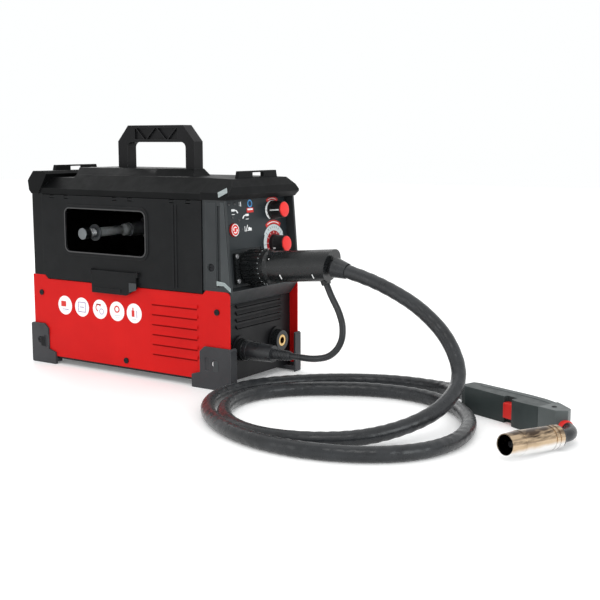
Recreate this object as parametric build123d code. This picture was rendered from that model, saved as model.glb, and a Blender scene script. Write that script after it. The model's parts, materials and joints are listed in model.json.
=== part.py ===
from build123d import *
import math
import os

# A portable wire-feed welder: a red steel lower case with the power electronics, a black plastic wire
# compartment above it with a windowed door, and a welding torch on its lead.
# The control panel faces -Y, the window side is -X, up is +Z, and the feet stand on Z = 0.
# Every length is in millimetres.

# Lower case
COVER_LENGTH = 370.0        # length of the red side covers, along Y
COVER_X = 80.8              # outer face of the side covers
SHEET = 1.5                 # steel sheet
COVER_BOTTOM = 12.0
SEAM_Z = 128.0              # top edge of the covers along the door
CORNER_Z = 133.5            # top edge of the covers at the two ends
PAN_BOTTOM = 9.0
FRONT_PANEL_Y = -172.0      # face of the recessed lower front panel
REAR_PANEL_Y = 176.0        # face of the recessed lower rear panel
LOUVRE_ROWS = 6
LOUVRE_PITCH = 14.0
LOUVRE_BOTTOM = 38.0
LOUVRE_Y = (-131.0, -48.0)

# Corner feet: end face, end of the upper part, end of the lower part, top, screw height
FRONT_LOUVRES = 4
FRONT_LOUVRE_PITCH = 9.5
FRONT_LOUVRE_BOTTOM = 80.0
FOOT_X = 84.0
FOOT_INNER_X = 70.0
FOOT_SHAPES = ((-188.0, -135.5, -121.0, 58.0, 35.6), (190.0, 155.0, 141.0, 60.0, 34.6))
FOOT_STEP_Z = 20.0

# Wire compartment
HOUSING_Y = (-141.0, 181.5)
HOUSING_TOP = 254.0
HOUSING_WALL = 2.8
HOUSING_FLOOR = 128.6

# Door, its hinge and its latch
DOOR_Y = (-140.4, 160.0)
DOOR_X = (-82.8, -79.4)
DOOR_Z = (129.4, 252.8)
HINGE_X = -80.8
HINGE_Z = 250.4
PIN_RADIUS = 1.0
KNUCKLE_RADIUS = 2.0
KNUCKLES_Y = (-104.0, 0.0, 124.0)
KNUCKLE_LENGTH = 20.0
WINDOW_Y = (-42.5, 111.5)
WINDOW_Z = (172.0, 235.0)
WINDOW_CORNER = 9.0
LATCH_HINGE = (-85.6, 146.5)
LATCH_Y = (-26.0, 58.4)

# Roof and carrying handle
ROOF_TOP = 292.0
SHOULDER_Z = 262.0
SHOULDER_SLOPE = 1.16       # run of the sloping shoulders for each millimetre of height
HOOD_TOP = 282.0
DECK_Y = 112.0              # the roof is lower behind this
DECK_TOP = 277.5
ROOF_WALL = 3.0
PLATFORM_LOW = ((80.8, 100), (80.8, 58.5), (80.8, -3.3), (80.8, -61), (36, -88))    # X and Y at SHOULDER_Z
PLATFORM_HIGH = ((45, 118), (42.5, 78), (37.5, 33), (33, -17), (11, -71.5))         # X and Y at ROOF_TOP
HANDLE_Y = (-71.0, 73.0)
HANDLE_INNER = 55.0
HANDLE_TOP = 353.0
HANDLE_X = 9.5

# Control panel, tilted back about the X axis
PANEL_TOP_Y = -164.0
PANEL_TOP_Z = 254.0
PANEL_TILT = math.radians(4.8)
KNOB_X = 45.5
KNOB_HEIGHTS = {"knob_upper": 234.8, "knob_lower": 187.1}
KNOB_RADIUS = 12.4
KNOB_OUT = 19.5
SHAFT_RADIUS = 3.0
BUTTON_AT = (-47.5, 213.0)
BUTTON_RADIUS = 8.6
RUN_CLEARANCE = 0.06

# Torch connector, square to the panel
EURO_AT = (-23.0, 161.0)
EURO_NUT_RADIUS = 24.5
EURO_NUT_OUT = (4.2, 37.0)    # distance of its two ends from the panel
EURO_NUT_RIDGES = 22
EURO_BODY_RADIUS = 20.8
EURO_FLANGE_HALF = (30.0, 21.0)
EURO_SCREWS = (26.0, 16.5)
EURO_END = 146.0

# Output sockets
SOCKET_X = 43.0
SOCKET_Z = 50.6
SOCKET_FACE_Y = -184.0
SOCKET_BORE = 4.75
SOCKET_RADIUS = 14.5

# Spool spindle
SPINDLE_Y = 88.0
SPINDLE_Z = 197.5
SPINDLE_RADIUS = 4.5

# Wire feeder
FEED_Y = -64.0
FEED_Z = 158.5
ROLL_RADIUS = 11.0
WIRE_GAP = 0.8
FEED_PLATE_X = -13.0
ARM_PIVOT = (-32.0, 184.0)    # Y and Z of the pressure arm's hinge
ARM_TIP = (-92.0, 188.0)     # Y and Z of the tension screw

# Fan
FAN_X = -30.0
FAN_Z = 72.0
FAN_SIZE = 80.0
FAN_Y = (146.0, 171.0)

# Torch, lying on its side: rear of the handle and the way that it points
TORCH_REAR = (10.0, -495.0)
TORCH_HEADING = math.radians(250.7)
HANDLE_Z = (0.2, 32.4)
NOZZLE_RADIUS = 13.6
NOZZLE_MOUTH_RADIUS = 11.9
NOZZLE_BORE = 10.9
NOZZLE_BACK = (-91.7, -639.0, 14.0)
NOZZLE_TIP = (-170.0, -610.0, 19.0)

# Cables
CABLE_RADIUS = 9.0
LEAD_RADIUS = 4.3
TORCH_CABLE_ROUTE = [
    (-23, -306.5, 170.8),
    (-23, -350, 162),
    (-24, -396, 147),
    (-28, -440, 127),
    (-38, -482, 96),
    (-62, -511, 57),
    (-108, -511, 32),
    (-160, -494, 19),
    (-206, -460, 10.5),
    (-240, -410, 9.1),
    (-252, -350, 9.1),
    (-230, -293, 9.1),
    (-184, -251, 9.1),
    (-132, -233, 9.1),
    (-83, -242, 9.1),
    (-45, -271, 9.1),
    (-14, -315, 9.1),
    (9, -366, 9.1),
    (11, -422, 9.1),
    (-10, -474, 9.1),
    (-50, -514, 9.1),
    (-101, -539, 9.1),
    (-157, -548, 9.1),
    (-209, -535, 9.1),
    (-248, -498, 9.1),
    (-270, -445, 9.1),
    (-275, -385, 9.1),
    (-260, -325, 9.1),
    (-229, -271, 9.1),
    (-186, -227, 9.1),
    (-134, -203, 9.1),
    (-80, -203, 9.1),
    (-32, -226, 9.1),
    (14, -266, 9.1),
    (48, -316, 9.1),
    (65, -372, 9.1),
    (63, -424, 9.6),
    (42, -459, 13.2),
    (18.5, -485.4, 16.3),
]
POLARITY_ROUTE = [
    (-23, -299, 147),
    (-24, -306.5, 132),
    (-28, -320, 116),
    (-32, -330, 96),
    (-36, -330, 74),
    (-40, -316, 56),
    (-42.6, -293, 50.6),
    (-43, -272, 50.6),
    (-43, -257, 50.6),
]


# ---------------------------------------------------------------- helpers

def block(x0, x1, y0, y1, z0, z1):
    """A box between two corners."""
    return Pos((x0 + x1) / 2, (y0 + y1) / 2, (z0 + z1) / 2) * Box(x1 - x0, y1 - y0, z1 - z0)


def side_prism(points, x0, x1):
    """An outline of (Y, Z) points carried from x0 to x1."""
    plane = Plane(origin=(x0, 0, 0), x_dir=(0, 1, 0), z_dir=(1, 0, 0))
    return extrude(plane * Polygon(*points, align=None), amount=x1 - x0, dir=plane.z_dir)


def front_prism(points, y0, y1):
    """An outline of (X, Z) points carried from y1 back to y0."""
    plane = Plane(origin=(0, y1, 0), x_dir=(1, 0, 0), z_dir=(0, -1, 0))
    return extrude(plane * Polygon(*points, align=None), amount=y1 - y0, dir=plane.z_dir)


def plan_prism(points, z0, z1):
    """An outline of (X, Y) points carried from z0 to z1."""
    return extrude(Plane.XY.offset(z0) * Polygon(*points, align=None), amount=z1 - z0, dir=(0, 0, 1))


def rod(start, end, radius, end_radius=None):
    """A round bar or cone between two points."""
    start = Vector(*start)
    axis = Vector(*end) - start
    plane = Plane(origin=start, z_dir=axis.normalized())
    if end_radius is None:
        return extrude(plane * Circle(radius), amount=axis.length)
    return plane * Pos(0, 0, axis.length / 2) * Cone(radius, end_radius, axis.length)


def tube(start, end, outer, inner):
    """A round tube between two points."""
    return rod(start, end, outer) - rod(start, end, inner)


def both_sides(shape):
    """The shape and its mirror image across the machine's middle plane."""
    return [shape, mirror(shape, about=Plane.YZ)]


def group(shapes):
    """Separate solids kept together as one node."""
    solids = []
    for shape in shapes:
        solids.extend(shape.solids())
    return Compound(children=solids)


def rounded_slab(y0, y1, z0, z1, x0, x1, corner):
    """A slab in the YZ plane with round corners."""
    plane = Plane(origin=(x0, (y0 + y1) / 2, (z0 + z1) / 2), x_dir=(0, 1, 0), z_dir=(1, 0, 0))
    return extrude(plane * RectangleRounded(y1 - y0, z1 - z0, corner), amount=x1 - x0)


def panel_point(x, z, out=0.0):
    """The point at this X and height on the control panel's face, moved out along its normal."""
    y = PANEL_TOP_Y - (PANEL_TOP_Z - z) * math.tan(PANEL_TILT)
    return (x, y - out * math.cos(PANEL_TILT), z + out * math.sin(PANEL_TILT))


def panel_rod(x, z, radius, out0, out1, end_radius=None):
    """A round bar square to the control panel."""
    return rod(panel_point(x, z, out0), panel_point(x, z, out1), radius, end_radius)


def panel_plate(x0, x1, z0, z1, out0, out1):
    """A plate parallel to the control panel."""
    outline = [panel_point(0, z0, out0)[1:], panel_point(0, z1, out0)[1:],
               panel_point(0, z1, out1)[1:], panel_point(0, z0, out1)[1:]]
    return side_prism(outline, x0, x1)


def torch_point(along, across, z):
    """A point in the torch's own plan: along the handle, then across it towards the trigger."""
    forward = (math.cos(TORCH_HEADING), math.sin(TORCH_HEADING))
    trigger_side = (forward[1], -forward[0])
    x = TORCH_REAR[0] + along * forward[0] + across * trigger_side[0]
    y = TORCH_REAR[1] + along * forward[1] + across * trigger_side[1]
    return (x, y, z)


def torch_prism(points, z0, z1):
    """An outline of (along, across) points on the torch, carried from z0 to z1."""
    return plan_prism([torch_point(a, c, 0)[:2] for a, c in points], z0, z1)


def cable(route, radius, name):
    """A round cable along straight runs joined by tangent arcs as large as the runs allow."""
    points = [Vector(*p) for p in route]
    radii = []
    for before, corner, after in zip(points, points[1:], points[2:]):
        first = corner - before
        second = after - corner
        half_turn = math.radians(first.get_angle(second)) / 2
        radii.append(0.45 * min(first.length, second.length) / math.tan(half_turn))
    path = FilletPolyline(*points, radius=radii)
    start = Plane(origin=points[0], z_dir=points[1] - points[0])
    solid = sweep(start * Circle(radius), path=path)
    expected = math.pi * radius ** 2 * path.length
    print(name, "length", round(path.length, 1), "smallest radius", round(min(radii), 1),
          "volume ratio", round(solid.volume / expected, 4))
    print(name, "radii", [round(r) for r in radii])
    return solid


# ---------------------------------------------------------------- lower case

def base_pan():
    """Steel floor of the lower case with turned-up sides."""
    edge = COVER_X - SHEET - 0.1
    pan = block(-edge, edge, FRONT_PANEL_Y, REAR_PANEL_Y, PAN_BOTTOM, PAN_BOTTOM + SHEET)
    for flange in both_sides(block(-edge, -edge + SHEET, FRONT_PANEL_Y + 4, REAR_PANEL_Y - 4,
                                   PAN_BOTTOM, PAN_BOTTOM + 16)):
        pan += flange
    pan -= rod((-90, 0.6, 21.5), (90, 0.6, 21.5), 2.3)
    for y in (-90, -45, 0, 45, 90):
        pan -= block(-34, 34, y - 2.5, y + 2.5, PAN_BOTTOM - 1, PAN_BOTTOM + SHEET + 1)
    return pan


def cover_outline():
    """Side cover as (Y, Z) points: raised at both ends, with a round front top corner."""
    half = COVER_LENGTH / 2
    nose = [(-half + 6 - 6 * math.cos(math.radians(a)), SEAM_Z - 0.5 + 6 * math.sin(math.radians(a)))
            for a in (0, 30, 60, 90)]
    return [(half, COVER_BOTTOM), (half, CORNER_Z), (160, CORNER_Z), (154, SEAM_Z), (-140, SEAM_Z),
            (-145, CORNER_Z)] + nose[::-1] + [(-half, COVER_BOTTOM)]


def side_cover():
    """Left cover, with pressed louvres, a stiffening return along its top and its screw holes."""
    inner = -COVER_X + SHEET
    cover = side_prism(cover_outline(), -COVER_X, inner)
    cover += block(inner, inner + 8, -138, 150, SEAM_Z - SHEET, SEAM_Z)
    for row in range(LOUVRE_ROWS):
        z = LOUVRE_BOTTOM + row * LOUVRE_PITCH
        lip = [(-COVER_X + 0.3, z + 7), (-COVER_X - 2.6, z + 1.2), (-COVER_X - 2.6, z),
               (-COVER_X - 1.6, z), (-COVER_X + SHEET - 0.2, z + 5.6)]
        cover -= block(-COVER_X - 1, inner + 1, LOUVRE_Y[0] + 2, LOUVRE_Y[1] - 2, z - 0.5, z + 4)
        cover += front_prism(lip, *LOUVRE_Y)
    for y, z in ((168, 106.7), (-163.7, 105.6), (0.6, 21.5), (-161, 35.6), (172, 34.6)):
        cover -= rod((-90, y, z), (-70, y, z), 2.5)
    return cover


def corner_foot(end, upper, lower, top, screw_z):
    """One left-hand corner guard that wraps the side, the end and the underside."""
    way = 1 if end > 0 else -1
    outline = [(end, 1.5), (end - way * 1.5, 0), (lower, 0), (lower, FOOT_STEP_Z - 2), (upper, FOOT_STEP_Z + 2),
               (upper, top - 7), (upper + way * 8, top), (end - way * 2, top), (end, top - 2)]
    foot = side_prism(outline, -FOOT_X, -FOOT_INNER_X)
    cover_end = way * (COVER_LENGTH / 2 + 0.1)
    y0, y1 = sorted((cover_end, lower - way * 5))
    foot -= block(-COVER_X - 0.1, -FOOT_INNER_X + 1, y0, y1, COVER_BOTTOM - 0.1, top + 1)
    foot -= block(-COVER_X + SHEET - 0.1, -FOOT_INNER_X + 1, y0, y1, PAN_BOTTOM - 0.05, top + 1)
    foot -= block(-FOOT_INNER_X - 9, -FOOT_INNER_X + 1, y0, y1, -1, 3)
    screw_y = -161 if way < 0 else 172
    foot -= rod((-90, screw_y, screw_z), (-75, screw_y, screw_z), 2.6)
    foot -= rod((-90, screw_y, screw_z), (-FOOT_X + 1.6, screw_y, screw_z), 5.2)
    pocket_y = screw_y - way * 13
    foot -= block(-FOOT_X - 1, -FOOT_X + 1.2, pocket_y - 4, pocket_y + 4, screw_z - 10, screw_z + 8)
    return foot


def corner_feet():
    feet = []
    for shape in FOOT_SHAPES:
        feet.extend(both_sides(corner_foot(*shape)))
    return group(feet)


def case_screws():
    """The visible machine screws: five on each side and those of the pillar."""
    screws = []
    for y, z, face in ((168, 106.7, COVER_X), (-163.7, 105.6, COVER_X), (0.6, 21.5, COVER_X),
                       (-161, 35.6, FOOT_X - 1.6), (172, 34.6, FOOT_X - 1.6), (-155, 165, COVER_X - 2.5)):
        shank = rod((-face, y, z), (-face + 7, y, z), 2.2)
        head = rod((-face - 1.4, y, z), (-face, y, z), 4.2)
        slot = block(-face - 2, -face - 0.7, y - 3, y + 3, z - 0.6, z + 0.6)
        screws.extend(both_sides(shank + head - slot))
    return group(screws)


def front_louvre(z):
    """Pressed hood over one vent slot, closed at both ends and open below."""
    face = FRONT_PANEL_Y
    lip = face - 2.6
    sheet = [(face, z + 4.9), (lip, z + 1.2), (lip, z + 0.3), (face - 1.5, z + 0.3), (face, z + 2.7)]
    end = [(face, z + 4.9), (lip, z + 1.2), (lip, z + 0.3), (face, z + 0.3)]
    return side_prism(sheet, -51, 56) + side_prism(end, -51, -49.8) + side_prism(end, 54.8, 56)


def front_panel():
    """Recessed lower front panel with its vent slots and the output socket holes."""
    edge = COVER_X - SHEET - 0.1
    panel = block(-edge, edge, FRONT_PANEL_Y, FRONT_PANEL_Y + 2, PAN_BOTTOM + SHEET, 113.5)
    for x in (-SOCKET_X, SOCKET_X):
        panel -= rod((x, -180, SOCKET_Z), (x, -160, SOCKET_Z), 12.6)
        panel += tube((x, FRONT_PANEL_Y - 2.5, SOCKET_Z), (x, FRONT_PANEL_Y, SOCKET_Z), 19, 15.2)
    for row in range(FRONT_LOUVRES):
        z = FRONT_LOUVRE_BOTTOM + row * FRONT_LOUVRE_PITCH
        panel -= block(-50, 55, -175, -165, z - 1.6, z + 2.4)
        panel += front_louvre(z)
    panel += block(-74, 74, FRONT_PANEL_Y + 2, FRONT_PANEL_Y + 12, PAN_BOTTOM + SHEET, PAN_BOTTOM + 2 * SHEET)
    return panel


def rear_panel():
    """Recessed lower rear panel with the fan opening, switch cut-out, gas inlet and cable gland holes."""
    edge = COVER_X - SHEET - 0.1
    panel = block(-edge, edge, REAR_PANEL_Y - SHEET, REAR_PANEL_Y, PAN_BOTTOM + SHEET, 127.5)
    panel -= rod((FAN_X, 170, FAN_Z), (FAN_X, 180, FAN_Z), 37.5)
    panel -= block(36.8, 57.2, 170, 180, 86.8, 113.2)
    panel -= rod((47, 170, 64), (47, 180, 64), 5.1)
    panel -= rod((47, 170, 34), (47, 180, 34), 8.1)
    return panel


# ---------------------------------------------------------------- wire compartment

def spool_housing():
    """Plastic tub of the wire compartment, open at the top and towards the door."""
    y0, y1 = HOUSING_Y
    low_x = COVER_X - SHEET - 0.2
    base_top = CORNER_Z + 0.3
    tub = block(-low_x, low_x, y0, y1, HOUSING_FLOOR, base_top + 3)
    tub += block(-74, COVER_X, y0, y1, base_top, HOUSING_TOP)
    tub += block(-74, 74, y1, y1 + 2.5, base_top, base_top + 15)
    tub -= block(-90, COVER_X - HOUSING_WALL, y0 + HOUSING_WALL, y1 - HOUSING_WALL,
                 HOUSING_FLOOR + HOUSING_WALL, HOUSING_TOP + 1)
    tub += block(-COVER_X, -74, DOOR_Y[1] + 0.4, y1, base_top, HOUSING_TOP)
    tub -= block(-78, -60, DOOR_Y[1] + 3.4, y1 - HOUSING_WALL, HOUSING_FLOOR + HOUSING_WALL, HOUSING_TOP + 1)
    tub += block(-76.8, -71, y0, y1, HINGE_Z - 5, HOUSING_TOP)
    for y in KNUCKLES_Y:
        for way in (-1, 1):
            near = y + way * (KNUCKLE_LENGTH / 2 + 0.3)
            far = near + way * 8
            lug = rod((HINGE_X, near, HINGE_Z), (HINGE_X, far, HINGE_Z), KNUCKLE_RADIUS)
            a, b = sorted((near, far))
            lug += block(HINGE_X, -76, a, b, HINGE_Z - KNUCKLE_RADIUS, HINGE_Z + KNUCKLE_RADIUS)
            tub += lug
        span = KNUCKLE_LENGTH / 2 + 8.3
        tub -= rod((HINGE_X, y - span, HINGE_Z), (HINGE_X, y + span, HINGE_Z), PIN_RADIUS)
    for y in (-92, -30, 32, 94, 150):
        tub += block(COVER_X - 0.01, COVER_X + 1.2, y - 2.5, y + 2.5, base_top + 6, HOUSING_TOP - 4)
    axis_y = panel_point(*EURO_AT)[1]
    tub -= rod((EURO_AT[0], axis_y - 20, FEED_Z), (EURO_AT[0], -120, FEED_Z), 9)
    tub -= rod((70, SPINDLE_Y, SPINDLE_Z), (90, SPINDLE_Y, SPINDLE_Z), 5.2)
    return tub


def hinge_pins():
    """Steel pins that the door turns on, pressed into the housing's lugs."""
    span = KNUCKLE_LENGTH / 2 + 8.2
    return group([rod((HINGE_X, y - span, HINGE_Z), (HINGE_X, y + span, HINGE_Z), PIN_RADIUS)
                  for y in KNUCKLES_Y])


def spool_door():
    """Side door with its window opening, the rim around it and two stiffening ridges."""
    x0, x1 = DOOR_X
    door = side_prism([(DOOR_Y[0], DOOR_Z[0]), (152, DOOR_Z[0]), (157.2, CORNER_Z + 1), (DOOR_Y[1], CORNER_Z + 1),
                       (DOOR_Y[1], DOOR_Z[1]), (DOOR_Y[0], DOOR_Z[1])], x0, x1)
    rim = rounded_slab(WINDOW_Y[0] - 5, WINDOW_Y[1] + 5, WINDOW_Z[0] - 5, WINDOW_Z[1] + 5,
                       x0 - 1.2, x0, WINDOW_CORNER + 5)
    door += rim
    door -= rounded_slab(*WINDOW_Y, *WINDOW_Z, x0 - 3, x1 + 1, WINDOW_CORNER)
    door -= rounded_slab(WINDOW_Y[0] - 3, WINDOW_Y[1] + 3, WINDOW_Z[0] - 3, WINDOW_Z[1] + 3,
                         x1 - 1.6, x1 + 1, WINDOW_CORNER + 3)
    for y in (-97, -92):
        door += block(x0 - 1.0, x0, y - 1.2, y + 1.2, DOOR_Z[0] + 4, DOOR_Z[1] - 7)
    for y in KNUCKLES_Y:
        knuckle = rod((HINGE_X, y - KNUCKLE_LENGTH / 2, HINGE_Z),
                      (HINGE_X, y + KNUCKLE_LENGTH / 2, HINGE_Z), KNUCKLE_RADIUS)
        door += knuckle
        door -= rod((HINGE_X, y - 20, HINGE_Z), (HINGE_X, y + 20, HINGE_Z), PIN_RADIUS + RUN_CLEARANCE)
        for way in (-1, 1):
            a, b = sorted((y + way * (KNUCKLE_LENGTH / 2), y + way * (KNUCKLE_LENGTH / 2 + 8.6)))
            door -= block(x0 - 2, x1 + 2, a, b, HINGE_Z - KNUCKLE_RADIUS - 0.6, HINGE_Z + 5)
    for y in (LATCH_Y[0] - 2, LATCH_Y[1] + 2):
        ear = block(-87.4, x0, y - 1.4, y + 1.4, 143, 150)
        ear -= rod((LATCH_HINGE[0], y - 3, LATCH_HINGE[1]), (LATCH_HINGE[0], y + 3, LATCH_HINGE[1]),
                   1.2 + RUN_CLEARANCE)
        door += ear
    return door


def window_pane():
    """Clear plastic pane in the door's rebate."""
    x1 = DOOR_X[1]
    return rounded_slab(WINDOW_Y[0] - 2.8, WINDOW_Y[1] + 2.8, WINDOW_Z[0] - 2.8, WINDOW_Z[1] + 2.8,
                        x1 - 1.6, x1, WINDOW_CORNER + 2.8)


def door_latch():
    """Pull tab that hooks over the lower case; it turns on two stub pins."""
    x, z = LATCH_HINGE
    y0, y1 = LATCH_Y
    outline = [(y1, 116.2), (-7, 116.2), (y0, 126.8), (y0, z + 2.1), (y1, z + 2.1)]
    tab = side_prism(outline, x - 1.6, x + 1.6)
    for y, way in ((y0, -1), (y1, 1)):
        tab += rod((x, y, z), (x, y + way * 3.0, z), 1.2)
    tab += block(x - 2.6, x - 1.6, 2, 51, 119, 124)
    return tab


# ---------------------------------------------------------------- roof and handle

def roof_body(inset):
    """Shoulders and platform of the roof, or with an inset, the space to leave inside them."""
    x = COVER_X - inset
    low = HOUSING_TOP - (1 if inset else 0)
    high = HOOD_TOP - inset
    top_x = COVER_X - (HOOD_TOP - SHOULDER_Z) * SHOULDER_SLOPE - inset / 2
    section = [(-x, low), (-x, SHOULDER_Z - inset / 2), (-top_x, high), (top_x, high), (x, SHOULDER_Z - inset / 2),
               (x, low)]
    ends = (-174, 178) if inset else (-140, 172)
    body = front_prism(section, *ends) - block(-90, 90, DECK_Y, 190, DECK_TOP - inset, 300)
    outlines = []
    for corners, z in ((PLATFORM_LOW, SHOULDER_Z - inset), (PLATFORM_HIGH, ROOF_TOP - inset)):
        right = [(x - inset, y - (inset if y > 90 else 0)) for x, y in corners]
        ring = right + [(-x, y) for x, y in reversed(right)]
        outlines.append(Plane.XY.offset(z) * make_face(Polyline(*ring, close=True)))
    return body + loft(outlines, ruled=True)


def roof_cover():
    """Roof moulding: shoulders, faceted platform, front hood, rear rim and two strap loops."""
    roof = roof_body(0)
    hood = [(-139, HOUSING_TOP), (-179, HOUSING_TOP), (-186, 261), (-185.4, 271), (-177.5, HOOD_TOP - 1),
            (-139, HOOD_TOP)]
    side = 82.5
    crown = side - (HOOD_TOP - SHOULDER_Z - 2) * SHOULDER_SLOPE
    across = [(-side, HOUSING_TOP), (-side, SHOULDER_Z + 2), (-crown, HOOD_TOP), (crown, HOOD_TOP),
              (side, SHOULDER_Z + 2), (side, HOUSING_TOP)]
    roof += side_prism(hood, -side, side) & front_prism(across, -190, -130)
    rim = [(167, HOUSING_TOP), (181.5, HOUSING_TOP), (186, 259), (188, 273), (176, 287), (153, 287), (149, 283)]
    roof += side_prism(rim, -side, side)
    roof -= roof_body(ROOF_WALL)
    for y0, y1, foot, top in ((-175, -169, HOOD_TOP - 1.5, 291), (168, 174, 285, 295)):
        loop = front_prism([(-46, foot), (-43, top), (41, top), (44, foot)], y0, y1)
        loop -= block(-14, 12, y0 - 1, y1 + 1, foot + 2, top - 2.2)
        roof += loop
    return roof


def carry_handle():
    """Fixed carrying handle with bevelled shoulders and a rounded hand gap."""
    front, rear = HANDLE_Y
    outline = [(front, ROOF_TOP), (front, 330), (front + 20, HANDLE_TOP), (rear - 20, HANDLE_TOP), (rear, 330),
               (rear, ROOF_TOP)]
    handle = side_prism(outline, -HANDLE_X, HANDLE_X)
    handle -= rounded_slab(-HANDLE_INNER, HANDLE_INNER, ROOF_TOP - 40, 329, -20, 20, 8)
    for x in (-HANDLE_X, HANDLE_X):
        way = 1 if x > 0 else -1
        a, b = sorted((x, x - way * 3.0))
        handle -= block(a - 0.01, b + 0.01, -40, 40, 333, 349)
        for i in range(4):
            y = -30 + i * 20
            tilt = 8 if i % 2 else -8
            rib = side_prism([(y - tilt - 1, 333), (y - tilt + 1, 333), (y + tilt + 1, 349), (y + tilt - 1, 349)],
                             a, b)
            handle += rib
    return handle


# ---------------------------------------------------------------- front bezel and controls

def front_bezel():
    """Black front moulding: pillars, cheeks, chin and the recess that holds the control panel."""
    back = HOUSING_Y[0] - 0.2
    upper = [(back, CORNER_Z + 0.3), (back, HOUSING_TOP - 0.1), (-178, HOUSING_TOP - 0.1),
             (-188, CORNER_Z + 1.5), (-187.5, CORNER_Z + 0.3)]
    bezel = side_prism(upper, -COVER_X, COVER_X)
    edge = COVER_X - SHEET - 0.2
    chin = [(back, HOUSING_FLOOR + 0.2), (back, CORNER_Z + 1), (-187.5, CORNER_Z + 1), (-187, CORNER_Z - 1),
            (-172.6, 114), (-160, 114), (-160, HOUSING_FLOOR + 0.2)]
    bezel += side_prism(chin, -edge, edge)
    wall_out = -1.5
    top = panel_point(0, HOUSING_TOP, wall_out)
    low = panel_point(0, 136, wall_out)
    bezel -= side_prism([top[1:], (-200, top[2]), (-200, 133), (low[1], 136)], -77.2, 77.2)
    inner_top = panel_point(0, 250.5, wall_out - 3)
    inner_low = panel_point(0, 140, wall_out - 3)
    bezel -= side_prism([(back - 2.4, 134), (back - 2.4, 250.5), inner_top[1:], inner_low[1:],
                         (inner_low[1], 134)], -77.2, 77.2)
    bezel -= block(-60, 60, back - 4, back + 1, 140, 246)
    for groove in both_sides(block(-COVER_X - 1, -COVER_X + 1.8, -170.5, -165.5, CORNER_Z + 6, 247)):
        bezel -= groove
    for z in KNOB_HEIGHTS.values():
        bezel -= panel_rod(KNOB_X, z, SHAFT_RADIUS + RUN_CLEARANCE, -8, 2)
    bezel -= panel_rod(*BUTTON_AT, BUTTON_RADIUS + 0.5, -8, 2)
    bezel -= panel_rod(*EURO_AT, 16.2, -8, 2)
    for x in (-1, 1):
        bezel -= rod((x * 90, -155, 165), (x * 70, -155, 165), 2.4)
        bezel -= rod((x * 90, -155, 165), (x * (COVER_X - 2.5), -155, 165), 5.2)
    return bezel


def control_panel():
    """Printed plate on the bezel's sloping face."""
    plate = panel_plate(-76.8, 76.8, 186.5, 253.2, -1.45, 0)
    plate += panel_plate(11.5, 76.8, 160, 188, -1.45, 0)
    for z in KNOB_HEIGHTS.values():
        plate -= panel_rod(KNOB_X, z, SHAFT_RADIUS + 0.6, -3, 2)
    plate -= panel_rod(*BUTTON_AT, BUTTON_RADIUS + 0.5, -3, 2)
    return plate


def panel_knob(z):
    """Rotary knob with a ring of grip flutes and its potentiometer shaft."""
    knob = panel_rod(KNOB_X, z, KNOB_RADIUS + 0.8, 0.8, 4.5)
    knob += panel_rod(KNOB_X, z, KNOB_RADIUS, 4.5, KNOB_OUT, KNOB_RADIUS - 0.9)
    knob += panel_rod(KNOB_X, z, SHAFT_RADIUS, -14, 1)
    for i in range(12):
        angle = math.radians(30 * i)
        x = KNOB_X + (KNOB_RADIUS + 0.7) * math.cos(angle)
        height = z + (KNOB_RADIUS + 0.7) * math.sin(angle)
        knob -= panel_rod(x, height, 1.3, 5.5, KNOB_OUT + 1)
    return knob


def mode_button():
    """Round push button."""
    button = panel_rod(*BUTTON_AT, BUTTON_RADIUS, -5, 2.2)
    button += panel_rod(*BUTTON_AT, BUTTON_RADIUS - 1.2, 2.2, 3.0)
    return button


def control_board():
    """Printed circuit board behind the panel with the two potentiometers."""
    board = panel_plate(-60, 70, 180, 246, -16.6, -15)
    for z in KNOB_HEIGHTS.values():
        pot = panel_rod(KNOB_X, z, 8, -15, -7)
        pot -= panel_rod(KNOB_X, z, SHAFT_RADIUS + 0.4, -17, -6)
        board += pot
        board -= panel_rod(KNOB_X, z, SHAFT_RADIUS + 0.4, -17, -14)
    return board


# ---------------------------------------------------------------- connectors and leads

def euro_flange():
    """Black mounting flange of the torch socket."""
    x, z = EURO_AT
    half_x, half_z = EURO_FLANGE_HALF
    flange = panel_plate(x - half_x, x + half_x, z - half_z, z + half_z, 0, 3.6)
    flange -= panel_rod(x, z, 13.4, -1, 5)
    for dx, dz in euro_screw_places():
        flange -= panel_rod(x + dx, z + dz, 1.8, -1, 5)
    return flange


def euro_screw_places():
    """Offsets of the four flange screws from the torch socket's axis."""
    half_x, half_z = EURO_SCREWS
    return [(dx, dz) for dx in (-half_x, half_x) for dz in (-half_z, half_z)]


def flange_screws():
    """Four slotted screws that hold the torch socket to the panel."""
    screws = []
    for dx, dz in euro_screw_places():
        x = EURO_AT[0] + dx
        z = EURO_AT[1] + dz
        head = panel_rod(x, z, 3.4, 3.6, 5.0, 2.8)
        head -= panel_plate(x - 0.5, x + 0.5, z - 4, z + 4, 4.2, 6)
        screws.append(head + panel_rod(x, z, 1.7, 0.1, 3.6))
    return group(screws)


def euro_socket():
    """Brass body of the central torch socket."""
    x, z = EURO_AT
    body = panel_rod(x, z, 16, -22, 0)
    body += panel_rod(x, z, 13.3, 0, 24)
    body -= panel_rod(x, z, 4.6, 10, 25)
    return body


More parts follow.
